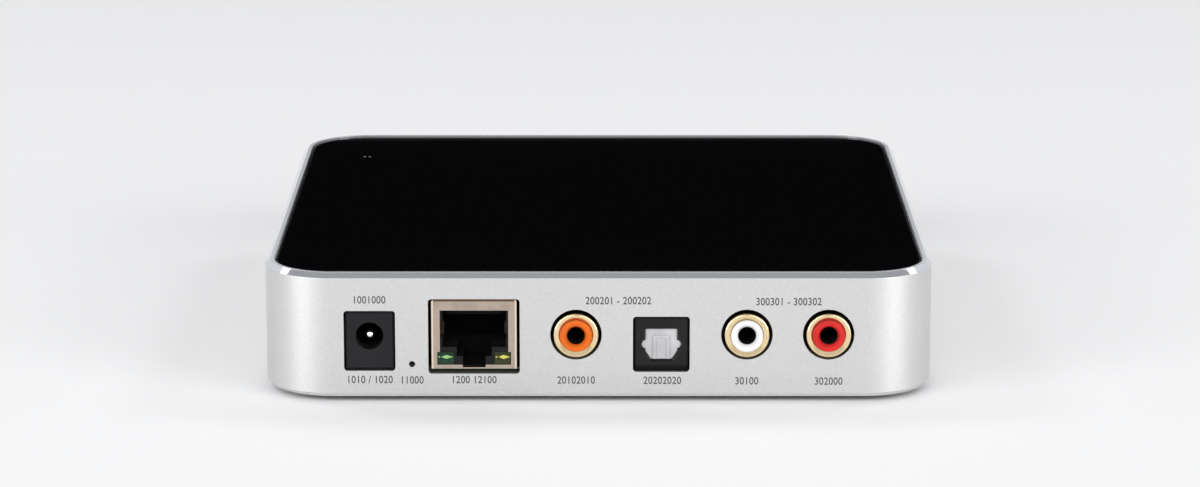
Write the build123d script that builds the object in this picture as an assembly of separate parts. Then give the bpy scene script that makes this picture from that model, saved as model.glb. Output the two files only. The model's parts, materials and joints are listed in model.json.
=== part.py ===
from build123d import *
import os

# A small network music streamer, in millimetres. The side with the sockets faces -Y, and +Z is up.
# The origin is on the surface that the feet stand on, in the middle of the overall width and length.
# Each piece is one solid in its own file, except that identical fasteners and parts share a file.

# How far every cutter runs past what it cuts.
OVERRUN = 1.0

# Housing frame: one machined ring of aluminium with a polished top edge.
BODY_WIDTH = 126.0
BODY_DEPTH = 129.0
BODY_HEIGHT = 23.8
CORNER_RADIUS = 13.3
WALL = 2.2
TOP_CHAMFER = 0.95
TOP_LAND = 0.75
BOTTOM_CHAMFER = 0.75
LEDGE_WIDTH = 2.6
LEDGE_THICKNESS = 1.4
BOSS_RADIUS = 3.6
BOSS_INSET = 7.4

# Glass top, set a little below the frame's land, on a thin bonding gasket.
GLASS_THICKNESS = 1.6
GLASS_RECESS = 0.3
GLASS_GAP = 0.4
GLASS_BEVEL = 0.25
GASKET_THICKNESS = 0.25
GASKET_INSET = 0.3
GASKET_WIDTH = 1.6

# Base plate, its countersunk screws and its four feet.
PLATE_THICKNESS = 1.5
PLATE_RECESS = 0.3
PLATE_GAP = 0.2
BASE_SCREW_RADIUS = 1.2
BASE_SCREW_LENGTH = 7.0
BASE_SCREW_HEAD_RADIUS = 2.3
BASE_SCREW_HEAD_DEPTH = 1.1
SCREW_CLEARANCE = 0.1
THREAD_CLEARANCE = 0.03
SOCKET_RADIUS = 0.75
SOCKET_DEPTH = 0.8
FOOT_RADIUS = 4.5
FOOT_PROUD = 1.2
FOOT_SEAT_DEPTH = 0.5
FOOT_SEAT_CLEARANCE = 0.1
FOOT_EDGE = 0.4
FOOT_INSET = 19.0

# Main board on four standoffs, notched round the rear bosses.
STANDOFF_HEIGHT = 1.8
STANDOFF_RADIUS = 2.6
STANDOFF_SIDE_INSET = 9.0
STANDOFF_REAR_DEPTH = 31.0
STANDOFF_FRONT_INSET = 11.6
BOARD_THICKNESS = 1.6
BOARD_SIDE_GAP = 0.8
BOARD_REAR_GAP = 0.4
BOARD_FRONT_MARGIN = 2.75
BOARD_NOTCH_CLEARANCE = 1.0
BOARD_CORNER = 1.5
BOARD_SCREW_RADIUS = 1.2
BOARD_SCREW_HEAD_RADIUS = 2.3
BOARD_SCREW_HEAD_HEIGHT = 1.3
BOARD_SCREW_HEAD_EDGE = 0.5
BOARD_SCREW_END_GAP = 0.2
PIN_PROUD = 0.8
PIN_HOLE_CLEARANCE = 0.15

# Clearance between two parts of one socket that sit in each other.
SEAT_CLEARANCE = 0.05
# Clearance between a rectangular socket and its cut-out in the rear wall.
CUTOUT_CLEARANCE = 0.3
CUTOUT_CORNER = 0.6

# Row of sockets. Between the ring's corner arcs, the width that the sockets leave over is shared out
# as the gaps before, between and after them, in parts of the shares' sum.
ROW_GAP_SHARES = (245, 85, 105, 605, 593, 597, 525, 175)

# Phono jacks, all three alike.
PHONO_AXIS_HEIGHT = 6.86
PHONO_BARREL_RADIUS = 4.15
PHONO_RING_GAP = 0.65
PHONO_BARREL_WALL = 0.45
PHONO_LIP_RADIUS = 0.55
PHONO_LIP_RIM = 0.27
PHONO_LIP_SKIRT = 0.7
PHONO_SHOULDER_PROUD = 0.25
PHONO_FACE_PROUD = 1.4
PHONO_FACE_EDGE = 0.2
PHONO_BORE_RADIUS = 1.68
PHONO_COUNTERSINK = 0.45
PHONO_COUNTERSINK_DEPTH = 0.7
PHONO_BARREL_DEPTH = 8.5
PHONO_BARREL_SEAT = 1.5
PHONO_STEP_DEPTH = 7.9
PHONO_STEP = 0.2
PHONO_INSULATOR_SEAT = 1.0
PHONO_HOUSING_WIDTH = 10.0
PHONO_HOUSING_RISE = 5.0
PHONO_HOUSING_LENGTH = 9.5
PHONO_HOUSING_EDGE = 1.0
PHONO_CONTACT_DEPTH = 3.2
PHONO_CONTACT_LENGTH = 5.0
PHONO_CONTACT_RADIUS = 1.85
PHONO_CONTACT_WALL = 0.35
PHONO_SLOT_ROOT_SHARE = 0.33
PHONO_CONTACT_SLOT = 0.5
PHONO_TAIL_RADIUS = 0.5
PHONO_STRAP_WIDTH = 1.8
PHONO_STRAP_THICKNESS = 0.4
PHONO_PEG_RADIUS = 0.8
PHONO_PEG_SPREAD = 6.0
PHONO_PEG_SETBACK = 4.5

# Power jack.
POWER_AXIS_HEIGHT = 6.55
POWER_WIDTH = 9.0
POWER_HEIGHT = 10.9
POWER_LIFT = 0.2
POWER_RECESS = 0.25
POWER_LENGTH = 14.2
POWER_FLANGE = 3.2
POWER_FLANGE_EDGE = 0.3
POWER_BODY_INSET = 0.3
POWER_BORE_RADIUS = 2.6
POWER_BORE_DEPTH = 9.6
POWER_PIN_RADIUS = 0.825
POWER_PIN_RECESS = 0.8
POWER_ROOT_RADIUS = 1.1
POWER_HEAD_RADIUS = 1.5
POWER_STRAP_WIDTH = 1.8
POWER_STRAP_THICKNESS = 0.4
POWER_SLOT_WIDTH = 2.6
POWER_SLOT_HEIGHT = 4.9
POWER_SLOT_START = 4.0
POWER_SLOT_END = 12.6
POWER_SPRING_WIDTH = 2.0
POWER_SPRING_THICKNESS = 0.3
POWER_SPRING_ROOT = 11.9
POWER_SPRING_REACH = 6.2
POWER_SPRING_TIP = 4.7
POWER_SPRING_PROUD = 0.25
POWER_SPRING_DIP = 0.9
POWER_SPRING_BEND_HEIGHT = 2.2

# Ethernet jack: a folded shell round a moulded insert.
ETHERNET_WIDTH = 16.0
ETHERNET_HEIGHT = 13.25
ETHERNET_LIFT = 0.15
ETHERNET_RECESS = 0.5
ETHERNET_LENGTH = 16.5
ETHERNET_SHEET = 0.25
ETHERNET_EDGE = 0.5
ETHERNET_FLOOR_LIP = 3.0
ETHERNET_SIDE_CLEARANCE = 0.55
ETHERNET_TOP_CLEARANCE = 0.25
ETHERNET_BOTTOM_CLEARANCE = 0.8
ETHERNET_WINDOW_SIDE = 1.625
ETHERNET_WINDOW_TOP = 11.2
ETHERNET_WINDOW_FLOOR = 0.3
ETHERNET_LAMP_WINDOW_SIDE = 1.1
ETHERNET_LAMP_WINDOW_TOP = 3.2
ETHERNET_LAMP_WINDOW_FLOOR = 0.8
ETHERNET_KEY_WIDTH = 4.25
ETHERNET_KEY_FLOOR = 0.6
ETHERNET_STEP_WIDTH = 6.6
ETHERNET_STEP_FLOOR = 2.4
ETHERNET_CAVITY_WIDTH = 11.9
ETHERNET_CAVITY_FLOOR = 4.15
ETHERNET_CAVITY_TOP = 11.2
ETHERNET_CAVITY_DEPTH = 13.0
ETHERNET_KEY_DEPTH = 8.5
ETHERNET_CARRIER_WIDTH = 10.8
ETHERNET_CARRIER_FLOOR = 9.9
ETHERNET_CARRIER_FRONT = 2.3
ETHERNET_CARRIER_LENGTH = 3.6
ETHERNET_LAMP_WIDTH = 3.1
ETHERNET_LAMP_HEIGHT = 2.3
ETHERNET_LAMP_LENGTH = 9.0
ETHERNET_LAMP_CLEARANCE = 0.04
ETHERNET_TAB_FLOOR = 6.35
ETHERNET_TAB_HEIGHT = 2.2
ETHERNET_TAB_LENGTH = 3.4
ETHERNET_TAB_REACH = 0.75
TAB_BEND_SHARE = 0.65
ETHERNET_TAB_POCKET_CLEARANCE = 0.25
ETHERNET_WIRE_COUNT = 8
ETHERNET_WIRE_PITCH = 1.02
ETHERNET_WIRE_WIDTH = 0.45
ETHERNET_WIRE_THICKNESS = 0.25
ETHERNET_WIRE_SEAT = 1.6
ETHERNET_WIRE_LENGTH = 7.6
ETHERNET_WIRE_DROP = 2.3
ETHERNET_TAIL_RADIUS = 0.25
ETHERNET_TAIL_DEPTH = 9.5
ETHERNET_TAIL_STAGGER = 2.54
ETHERNET_LEG_WIDTH = 1.4
ETHERNET_LEG_DEPTH = 6.0

# Optical socket with its hinged shutter.
OPTICAL_WIDTH = 10.0
OPTICAL_HEIGHT = 10.0
OPTICAL_RECESS = 0.3
OPTICAL_LENGTH = 11.0
OPTICAL_FACE_EDGE = 0.3
OPTICAL_FRONT_WALL = 1.0
OPTICAL_CAVITY_WIDTH = 8.2
OPTICAL_CAVITY_FLOOR = 1.1
OPTICAL_CAVITY_TOP = 9.65
OPTICAL_MOUTH_WIDTH = 6.3
OPTICAL_MOUTH_TOP = 8.0
OPTICAL_MOUTH_FLOOR = 1.85
OPTICAL_MOUTH_TOE_WIDTH = 4.2
OPTICAL_MOUTH_TOE_HEIGHT = 1.7
OPTICAL_EAR_WIDTH = 7.75
OPTICAL_EAR_HEIGHT = 2.05
OPTICAL_EAR_RISE = 4.85
OPTICAL_MOUTH_BEVEL = 0.35
OPTICAL_HINGE_HEIGHT = 8.85
OPTICAL_HINGE_RADIUS = 0.4
OPTICAL_HINGE_LENGTH = 0.55
OPTICAL_HINGE_CLEARANCE = 0.05
SHUTTER_THICKNESS = 1.0
SHUTTER_WIDTH = 7.9
SHUTTER_FLOOR = 1.5
SHUTTER_GAP = 0.1
SHUTTER_FACE_PROUD = 0.6
SHUTTER_FACE_CLEARANCE = 0.2
SHUTTER_RIB_WIDTH = 3.1
SHUTTER_RIB_TOP = 6.6
SHUTTER_RIB_PROUD = 0.25
SHUTTER_GROOVE_WIDTH = 1.9
SHUTTER_GROOVE_DEPTH = 0.12
SHUTTER_SPRING_WIDTH = 2.4
SHUTTER_SPRING_THICKNESS = 0.12
SHUTTER_SPRING_SEAT = 2.6
SHUTTER_SPRING_START = 6.6
SHUTTER_SPRING_DROP = 2.6
EMITTER_LENGTH = 3.6
EMITTER_WIDTH = 8.0
EMITTER_HEIGHT = 8.4
EMITTER_EDGE = 0.3
EMITTER_FERRULE_RADIUS = 1.6
EMITTER_FERRULE_BORE = 1.28
EMITTER_FERRULE_LENGTH = 2.0
EMITTER_FERRULE_FLOOR = 0.4
EMITTER_AXIS_HEIGHT = 4.6
EMITTER_PIN_RADIUS = 0.25
EMITTER_PIN_PITCH = 2.54
EMITTER_PIN_COUNT = 3
EMITTER_PIN_SEAT = 0.5
OPTICAL_PEG_RADIUS = 0.7
OPTICAL_PEG_SPREAD = 7.0
OPTICAL_PEG_DEPTH = 4.5

# Reset switch behind its pinhole.
RESET_AXIS_HEIGHT = 1.18
RESET_PINHOLE_RADIUS = 0.575
RESET_CASE_WIDTH = 4.7
RESET_CASE_HEIGHT = 2.1
RESET_CASE_DEPTH = 3.4
RESET_CASE_LENGTH = 3.0
RESET_CASE_WALL = 0.5
RESET_POCKET_LENGTH = 1.35
RESET_POCKET_WIDTH = 2.9
RESET_COVER_SHEET = 0.2
RESET_COVER_SKIRT = 1.2
RESET_NECK_WIDTH = 1.4
RESET_NECK_HEIGHT = 1.3
RESET_NECK_CLEARANCE = 0.06
RESET_NECK_PROUD = 0.65
RESET_FLANGE_WIDTH = 2.6
RESET_FLANGE_LENGTH = 0.6
RESET_DOME_THICKNESS = 0.08
RESET_DOME_WIDTH = 2.4

# Status lights under a clear light guide.
LIGHT_SIDE_INSET = 13.92
LIGHT_FRONT_INSET = 22.45
LIGHT_PITCH = 1.05
LIGHT_WIDTH = 0.8
LIGHT_LENGTH = 1.6
LIGHT_HEIGHT = 0.6
GUIDE_TIP_RADIUS = 0.35
GUIDE_TIP_LENGTH = 2.0
GUIDE_TOP_GAP = 0.3
GUIDE_STEM_WIDTH = 2.1
GUIDE_STEM_LENGTH = 1.4
GUIDE_FOOT_WIDTH = 4.8
GUIDE_FOOT_LENGTH = 2.6
GUIDE_FOOT_HEIGHT = 1.6
GUIDE_POCKET_WIDTH = 2.5
GUIDE_POCKET_HEIGHT = 0.9

# Chips, filters and cans on the board.
PROCESSOR_X = -8.0
PROCESSOR_DEPTH_SHARE = 0.48
PROCESSOR_SIDE = 14.0
PROCESSOR_HEIGHT = 1.1
MEMORY_X = 7.0
MEMORY_WIDTH = 9.0
MEMORY_LENGTH = 13.0
MEMORY_HEIGHT = 1.0
PACKAGE_EDGE_SHARE = 0.2
SHIELD_X = -1.5
SHIELD_WIDTH = 34.0
SHIELD_LENGTH = 28.0
SHIELD_HEIGHT = 2.2
SHIELD_SHEET = 0.3
SHIELD_CORNER = 1.0
SHIELD_LID_GAP = 0.05
SHIELD_LID_SKIRT = 1.2
SHIELD_HOLE_RADIUS = 0.7
SHIELD_HOLE_PITCH = 5.5
SHIELD_HOLE_COLUMNS = 5
SHIELD_HOLE_ROWS = 3
PAD_SIDE = 11.0
FLASH_X = -2.0
FLASH_GAP = 7.6
AMPLIFIER_DEPTH = 37.0
SMALL_CHIP_WIDTH = 3.9
SMALL_CHIP_LENGTH = 4.9
SMALL_CHIP_HEIGHT = 1.5
SMALL_CHIP_SPAN = 6.0
SMALL_CHIP_PITCH = 1.27
SMALL_CHIP_PINS = 4
CONVERTER_DEPTH = 51.0
CONVERTER_WIDTH = 5.3
CONVERTER_LENGTH = 7.2
CONVERTER_HEIGHT = 1.8
CONVERTER_SPAN = 7.8
CONVERTER_PITCH = 0.65
CONVERTER_PINS = 10
TRANSFORMER_DEPTH = 29.0
TRANSFORMER_WIDTH = 7.1
TRANSFORMER_LENGTH = 12.7
TRANSFORMER_HEIGHT = 5.7
TRANSFORMER_SPAN = 9.6
TRANSFORMER_PITCH = 1.27
TRANSFORMER_PINS = 8
LEAD_WIDTH_SHARE = 0.35
LEAD_THICKNESS = 0.15
LEAD_FOOT = 0.6
REGULATOR_DEPTH = 32.0
REGULATOR_WIDTH = 6.5
REGULATOR_LENGTH = 3.5
REGULATOR_HEIGHT = 1.6
REGULATOR_SPAN = 7.0
REGULATOR_PITCH = 2.3
REGULATOR_PINS = 3
REGULATOR_TAB_WIDTH = 3.0
INDUCTOR_DEPTH = 42.0
INDUCTOR_PITCH = 9.0
INDUCTOR_COUNT = 2
INDUCTOR_SIDE = 6.6
INDUCTOR_HEIGHT = 3.0
INDUCTOR_CORNER = 1.6
CAN_RADIUS = 3.15
CAN_HEIGHT = 5.4
CAN_BASE_SIDE = 6.6
CAN_BASE_HEIGHT = 0.6
CAN_BASE_CHAMFER = 1.2
CAN_WAIST = 0.25
CAN_EDGE = 0.3
OUTPUT_CAN_DEPTH = 26.0
OUTPUT_CAN_PITCH = 7.5
OUTPUT_CAN_COUNT = 4
SUPPLY_CAN_DEPTH = 22.0
SUPPLY_CAN_PITCH = 7.6
SUPPLY_CAN_COUNT = 2
CRYSTAL_WIDTH = 3.2
CRYSTAL_LENGTH = 2.5
CRYSTAL_HEIGHT = 0.8
CRYSTAL_CORNER = 0.4
SYSTEM_CRYSTAL_GAP = 4.9
AUDIO_CRYSTAL_GAP = 3.0
RADIO_GAP = 1.0
RADIO_WIDTH = 22.0
RADIO_LENGTH = 15.0
RADIO_THICKNESS = 0.8
RADIO_SHIELD_WIDTH = 18.0
RADIO_SHIELD_LENGTH = 12.0
RADIO_SHIELD_HEIGHT = 1.8
ANTENNA_GUIDE_GAP = 3.18
ANTENNA_FRONT_INSET = 5.6
ANTENNA_LENGTH = 21.0
ANTENNA_HEIGHT = 8.0
ANTENNA_ARM = 2.2
ANTENNA_SHEET = 0.4
ANTENNA_LEG_WIDTH = 1.4
ANTENNA_FEED_OFFSET = 5.0
ANTENNA_FOOT_LENGTH = 2.2

# Places that follow from the sizes above.
REAR_Y = (PHONO_FACE_PROUD - BODY_DEPTH) / 2
BODY_Y = REAR_Y + BODY_DEPTH / 2
BODY_BOTTOM = FOOT_PROUD
BODY_TOP = BODY_BOTTOM + BODY_HEIGHT
PLATE_BOTTOM = BODY_BOTTOM + PLATE_RECESS
PLATE_TOP = PLATE_BOTTOM + PLATE_THICKNESS
BOARD_BOTTOM = PLATE_TOP + STANDOFF_HEIGHT
BOARD_TOP = BOARD_BOTTOM + BOARD_THICKNESS
GLASS_TOP = BODY_TOP - GLASS_RECESS
GLASS_BOTTOM = GLASS_TOP - GLASS_THICKNESS
LEDGE_TOP = GLASS_BOTTOM - GASKET_THICKNESS
LEDGE_BOTTOM = LEDGE_TOP - LEDGE_THICKNESS
POCKET_INSET = TOP_CHAMFER + TOP_LAND
GLASS_INSET = POCKET_INSET + GLASS_GAP
LEDGE_INSET = POCKET_INSET + LEDGE_WIDTH
PIN_REACH = BOARD_THICKNESS + PIN_PROUD
ETHERNET_WINDOW_WIDTH = ETHERNET_WIDTH - 2 * ETHERNET_WINDOW_SIDE
ETHERNET_LAMP_WINDOW_WIDTH = ETHERNET_WIDTH - 2 * ETHERNET_LAMP_WINDOW_SIDE
LIGHT_X = LIGHT_SIDE_INSET - BODY_WIDTH / 2
LIGHT_DEPTH = BODY_DEPTH - LIGHT_FRONT_INSET
BOARD_FRONT_DEPTH = LIGHT_DEPTH + GUIDE_FOOT_LENGTH / 2 + BOARD_FRONT_MARGIN
STANDOFF_FRONT_DEPTH = BOARD_FRONT_DEPTH - STANDOFF_FRONT_INSET
ANTENNA_X = -LIGHT_X - GUIDE_FOOT_WIDTH / 2 - ANTENNA_GUIDE_GAP - ANTENNA_LENGTH / 2
ANTENNA_DEPTH = BOARD_FRONT_DEPTH - ANTENNA_FRONT_INSET
PROCESSOR_DEPTH = PROCESSOR_DEPTH_SHARE * BODY_DEPTH
SHIELD_FRONT_DEPTH = PROCESSOR_DEPTH + SHIELD_LENGTH / 2
FLASH_DEPTH = SHIELD_FRONT_DEPTH + FLASH_GAP + SMALL_CHIP_LENGTH / 2
RADIO_DEPTH = SHIELD_FRONT_DEPTH + RADIO_GAP + RADIO_LENGTH / 2
SYSTEM_CRYSTAL_X = SHIELD_X - SHIELD_WIDTH / 2 - SYSTEM_CRYSTAL_GAP - CRYSTAL_WIDTH / 2


def socket_row():
    """The sockets' middles across the rear wall, in the order in which they stand."""
    switch = RESET_CASE_WIDTH + 2 * RESET_COVER_SHEET
    phono = PHONO_HOUSING_WIDTH
    widths = [POWER_WIDTH, switch, ETHERNET_WIDTH, phono, OPTICAL_WIDTH, phono, phono]
    spare = BODY_WIDTH - 2 * CORNER_RADIUS - sum(widths)
    middles, edge = [], CORNER_RADIUS - BODY_WIDTH / 2
    for width, share in zip(widths, ROW_GAP_SHARES):
        edge += spare * share / sum(ROW_GAP_SHARES)
        middles.append(edge + width / 2)
        edge += width
    return middles


POWER_X, RESET_X, ETHERNET_X, COAX_X, OPTICAL_X, LEFT_X, RIGHT_X = socket_row()
ANALOGUE_X = (LEFT_X + RIGHT_X) / 2
AUDIO_CRYSTAL_X = ANALOGUE_X - CONVERTER_SPAN / 2 - AUDIO_CRYSTAL_GAP - CRYSTAL_WIDTH / 2

# Local frames. On PANEL, X is across, Y is up from the board's top and Z is out of the rear wall.
# On BOARD, X is across, Y is the depth behind the rear wall's face and Z is up from the board's top.
PANEL = Plane(origin=(0, REAR_Y, BOARD_TOP), x_dir=(1, 0, 0), z_dir=(0, -1, 0))
BOARD = Plane(origin=(0, REAR_Y, BOARD_TOP))


def block(x, y, z):
    """A box between three pairs of limits."""
    limits = (x, y, z)
    size = [high - low for low, high in limits]
    middle = [(low + high) / 2 for low, high in limits]
    return Pos(*middle) * Box(*size)


def about(middle, width):
    """The pair of limits that a width has about its middle."""
    return middle - width / 2, middle + width / 2


def spread(count, pitch):
    """Places at an even pitch about zero."""
    return [(index - (count - 1) / 2) * pitch for index in range(count)]


def rod(radius, z):
    """A round bar along the local Z axis between two limits."""
    low, high = z
    return Pos(0, 0, low) * extrude(Circle(radius), high - low)


def turned(outline):
    """A closed outline of radius and height, turned about the local Z axis."""
    return revolve(Plane.XZ * make_face(outline), Axis.Z)


def strip(points, thickness):
    """The face of a bent strip of even thickness, whose right-hand side follows the points."""
    runs = [(Vector(b) - Vector(a)).normalized() for a, b in zip(points, points[1:])]
    normals = [Vector(-run.Y, run.X) for run in runs]
    sides = [normals[0], *normals, normals[-1]]
    far = []
    for point, before, after in zip(points, sides, sides[1:]):
        mitre = before + after
        far.append(Vector(point) + mitre * (2 * thickness / mitre.dot(mitre)))
    return make_face(Polyline(*points, *reversed(far), close=True))


def across(face, width):
    """A face drawn on depth and height, given a width along X about the local X origin."""
    return extrude(Plane.YZ * Pos(0, 0, -width / 2) * face, width)


def outline_slab(inset, z):
    """A plate of the body's outline, drawn in by an inset, between two heights."""
    low, high = z
    width, length = BODY_WIDTH - 2 * inset, BODY_DEPTH - 2 * inset
    return Pos(0, BODY_Y, low) * extrude(RectangleRounded(width, length, CORNER_RADIUS - inset), high - low)


def boss_places():
    """The four corner bosses' axes."""
    reach_x = BODY_WIDTH / 2 - BOSS_INSET
    reach_y = BODY_DEPTH / 2 - BOSS_INSET
    return [(x, BODY_Y + y) for x in (-reach_x, reach_x) for y in (-reach_y, reach_y)]


def foot_places():
    """The four feet's axes by name."""
    reach_x = BODY_WIDTH / 2 - FOOT_INSET
    reach_y = BODY_DEPTH / 2 - FOOT_INSET
    sides = {"left": -reach_x, "right": reach_x}
    ends = {"rear": -reach_y, "front": reach_y}
    return {f"foot_{end}_{side}": (sides[side], BODY_Y + ends[end]) for end in ends for side in sides}


def standoff_places():
    """The four standoffs' axes."""
    reach = BODY_WIDTH / 2 - STANDOFF_SIDE_INSET
    depths = (STANDOFF_REAR_DEPTH, STANDOFF_FRONT_DEPTH)
    return [(x, REAR_Y + depth) for x in (-reach, reach) for depth in depths]


def wall_cutter(x, height, face):
    """A sketch cut straight through the rear wall at a place measured from the board's top."""
    return PANEL * Pos(x, height, -WALL - OVERRUN) * extrude(face, WALL + 2 * OVERRUN)


def socket_cutter(x, across_size, low, high):
    """A cut-out with rounded corners through the rear wall, between two heights over the board."""
    return wall_cutter(x, (low + high) / 2, RectangleRounded(across_size, high - low, CUTOUT_CORNER))


def rear_wall_cutters():
    """Every cut-out of the rear wall, each sized from the socket that comes through it."""
    power_top = POWER_LIFT + POWER_HEIGHT + CUTOUT_CLEARANCE
    ethernet_top = ETHERNET_LIFT + ETHERNET_HEIGHT + ETHERNET_TOP_CLEARANCE
    cutters = [
        socket_cutter(POWER_X, POWER_WIDTH + 2 * CUTOUT_CLEARANCE, POWER_LIFT - CUTOUT_CLEARANCE, power_top),
        socket_cutter(
            ETHERNET_X,
            ETHERNET_WIDTH + 2 * ETHERNET_SIDE_CLEARANCE,
            ETHERNET_LIFT - ETHERNET_BOTTOM_CLEARANCE,
            ethernet_top,
        ),
        socket_cutter(
            OPTICAL_X,
            OPTICAL_WIDTH + 2 * CUTOUT_CLEARANCE,
            -CUTOUT_CLEARANCE,
            OPTICAL_HEIGHT + CUTOUT_CLEARANCE,
        ),
        wall_cutter(RESET_X, RESET_AXIS_HEIGHT, Circle(RESET_PINHOLE_RADIUS)),
    ]
    for x in (COAX_X, LEFT_X, RIGHT_X):
        cutters.append(wall_cutter(x, PHONO_AXIS_HEIGHT, Circle(PHONO_BARREL_RADIUS + PHONO_RING_GAP)))
    return cutters


def machined_ring():
    """The ring of the housing with its glass pocket, ledge, screw bosses and rear cut-outs."""
    outer = outline_slab(0, (BODY_BOTTOM, BODY_TOP))
    outer = chamfer(outer.faces().sort_by(Axis.Z)[-1].edges(), TOP_CHAMFER)
    outer = chamfer(outer.faces().sort_by(Axis.Z)[0].edges(), BOTTOM_CHAMFER)
    cavity = outline_slab(WALL, (BODY_BOTTOM - OVERRUN, LEDGE_BOTTOM))
    for x, y in boss_places():
        cavity -= Pos(x, y, 0) * rod(BOSS_RADIUS, (PLATE_TOP, LEDGE_BOTTOM + OVERRUN))
    frame = outer - cavity
    frame -= outline_slab(LEDGE_INSET, (LEDGE_BOTTOM - OVERRUN, BODY_TOP + OVERRUN))
    frame -= outline_slab(POCKET_INSET, (LEDGE_TOP, BODY_TOP + OVERRUN))
    hole_top = PLATE_BOTTOM + BASE_SCREW_LENGTH + OVERRUN
    for x, y in boss_places():
        frame -= Pos(x, y, 0) * rod(BASE_SCREW_RADIUS + THREAD_CLEARANCE, (BODY_BOTTOM, hole_top))
    for cutter in rear_wall_cutters():
        frame -= cutter
    return frame


def rear_stretch():
    """The space of the ring's straight rear wall, from one corner arc to the other."""
    half = BODY_WIDTH / 2 - CORNER_RADIUS
    depth = (REAR_Y - OVERRUN, REAR_Y + CORNER_RADIUS)
    return block((-half, half), depth, (BODY_BOTTOM - OVERRUN, BODY_TOP + OVERRUN))


def top_panel():
    """The glass, bevelled round its top edge."""
    glass = outline_slab(GLASS_INSET, (GLASS_BOTTOM, GLASS_TOP))
    return chamfer(glass.faces().sort_by(Axis.Z)[-1].edges(), GLASS_BEVEL)


def panel_gasket():
    """The bonding ring between the glass and the frame's ledge."""
    outer = GLASS_INSET + GASKET_INSET
    ring = outline_slab(outer, (LEDGE_TOP, GLASS_BOTTOM))
    return ring - outline_slab(outer + GASKET_WIDTH, (LEDGE_TOP - OVERRUN, GLASS_BOTTOM + OVERRUN))


def base_plate():
    """The floor of the housing, countersunk for its screws and recessed for the feet."""
    plate = outline_slab(WALL + PLATE_GAP, (PLATE_BOTTOM, PLATE_TOP))
    for x, y in boss_places():
        hole = rod(BASE_SCREW_RADIUS + SCREW_CLEARANCE, (PLATE_BOTTOM - OVERRUN, PLATE_TOP + OVERRUN))
        plate -= Pos(x, y, 0) * (hole + Pos(0, 0, PLATE_BOTTOM) * countersink(SCREW_CLEARANCE))
    for x, y in foot_places().values():
        heights = (PLATE_BOTTOM - OVERRUN, PLATE_BOTTOM + FOOT_SEAT_DEPTH)
        plate -= Pos(x, y, 0) * rod(FOOT_RADIUS + FOOT_SEAT_CLEARANCE, heights)
    return plate


def countersink(clearance):
    """The cone of a countersunk head, its wide end on the local XY plane, grown by a clearance."""
    wide = BASE_SCREW_HEAD_RADIUS + clearance
    narrow = BASE_SCREW_RADIUS + clearance
    return Pos(0, 0, BASE_SCREW_HEAD_DEPTH / 2) * Cone(wide, narrow, BASE_SCREW_HEAD_DEPTH)


def socket_recess(depth):
    """The hexagonal drive recess of a screw, from the local XY plane upwards."""
    return extrude(RegularPolygon(SOCKET_RADIUS, 6), depth)


def base_screws():
    """Four countersunk screws that hold the base plate to the frame's bosses."""
    screw = countersink(0) + rod(BASE_SCREW_RADIUS, (BASE_SCREW_HEAD_DEPTH, BASE_SCREW_LENGTH))
    screw -= Pos(0, 0, -OVERRUN) * socket_recess(SOCKET_DEPTH + OVERRUN)
    return [Pos(x, y, PLATE_BOTTOM) * screw for x, y in boss_places()]


def foot(x, y):
    """One rubber foot, bevelled where it meets the surface."""
    pad = rod(FOOT_RADIUS, (0, PLATE_BOTTOM + FOOT_SEAT_DEPTH))
    pad = chamfer(pad.edges().sort_by(Axis.Z)[0], FOOT_EDGE)
    return Pos(x, y, 0) * pad


def board_standoffs():
    """Four threaded standoffs between the base plate and the board."""
    post = rod(STANDOFF_RADIUS, (PLATE_TOP, BOARD_BOTTOM))
    post -= rod(BOARD_SCREW_RADIUS + THREAD_CLEARANCE, (PLATE_TOP - OVERRUN, BOARD_BOTTOM + OVERRUN))
    return [Pos(x, y, 0) * post for x, y in standoff_places()]


def board_screws():
    """Four pan-head screws that hold the board to the standoffs."""
    head = rod(BOARD_SCREW_HEAD_RADIUS, (BOARD_TOP, BOARD_TOP + BOARD_SCREW_HEAD_HEIGHT))
    head = chamfer(head.edges().sort_by(Axis.Z)[-1], BOARD_SCREW_HEAD_EDGE)
    screw = head + rod(BOARD_SCREW_RADIUS, (PLATE_TOP + BOARD_SCREW_END_GAP, BOARD_TOP + OVERRUN))
    recess_floor = BOARD_TOP + BOARD_SCREW_HEAD_HEIGHT - SOCKET_DEPTH
    screw -= Pos(0, 0, recess_floor) * socket_recess(SOCKET_DEPTH + OVERRUN)
    return [Pos(x, y, 0) * screw for x, y in standoff_places()]


def main_board():
    """The circuit board, with a hole for every pin, peg and leg of the sockets."""
    half = BODY_WIDTH / 2 - WALL - BOARD_SIDE_GAP
    rear = WALL + BOARD_REAR_GAP
    board = block((-half, half), (rear, BOARD_FRONT_DEPTH), (-BOARD_THICKNESS, 0))
    board = fillet(board.edges().filter_by(Axis.Z), BOARD_CORNER)
    notch = BOSS_INSET + BOSS_RADIUS + BOARD_NOTCH_CLEARANCE
    for side in (-1, 1):
        edge, inner = side * BODY_WIDTH / 2, side * (BODY_WIDTH / 2 - notch)
        limits = (min(edge, inner), max(edge, inner))
        board -= block(limits, (0, notch), (-BOARD_THICKNESS - OVERRUN, OVERRUN))
    for x, depth, radius in board_holes():
        hole = rod(radius + PIN_HOLE_CLEARANCE, (-BOARD_THICKNESS - OVERRUN, OVERRUN))
        board -= Pos(x, depth, 0) * hole
    board = BOARD * board
    for x, y in standoff_places():
        hole = rod(BOARD_SCREW_RADIUS + SCREW_CLEARANCE, (BOARD_BOTTOM - OVERRUN, BOARD_TOP + OVERRUN))
        board -= Pos(x, y, 0) * hole
    return board


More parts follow.
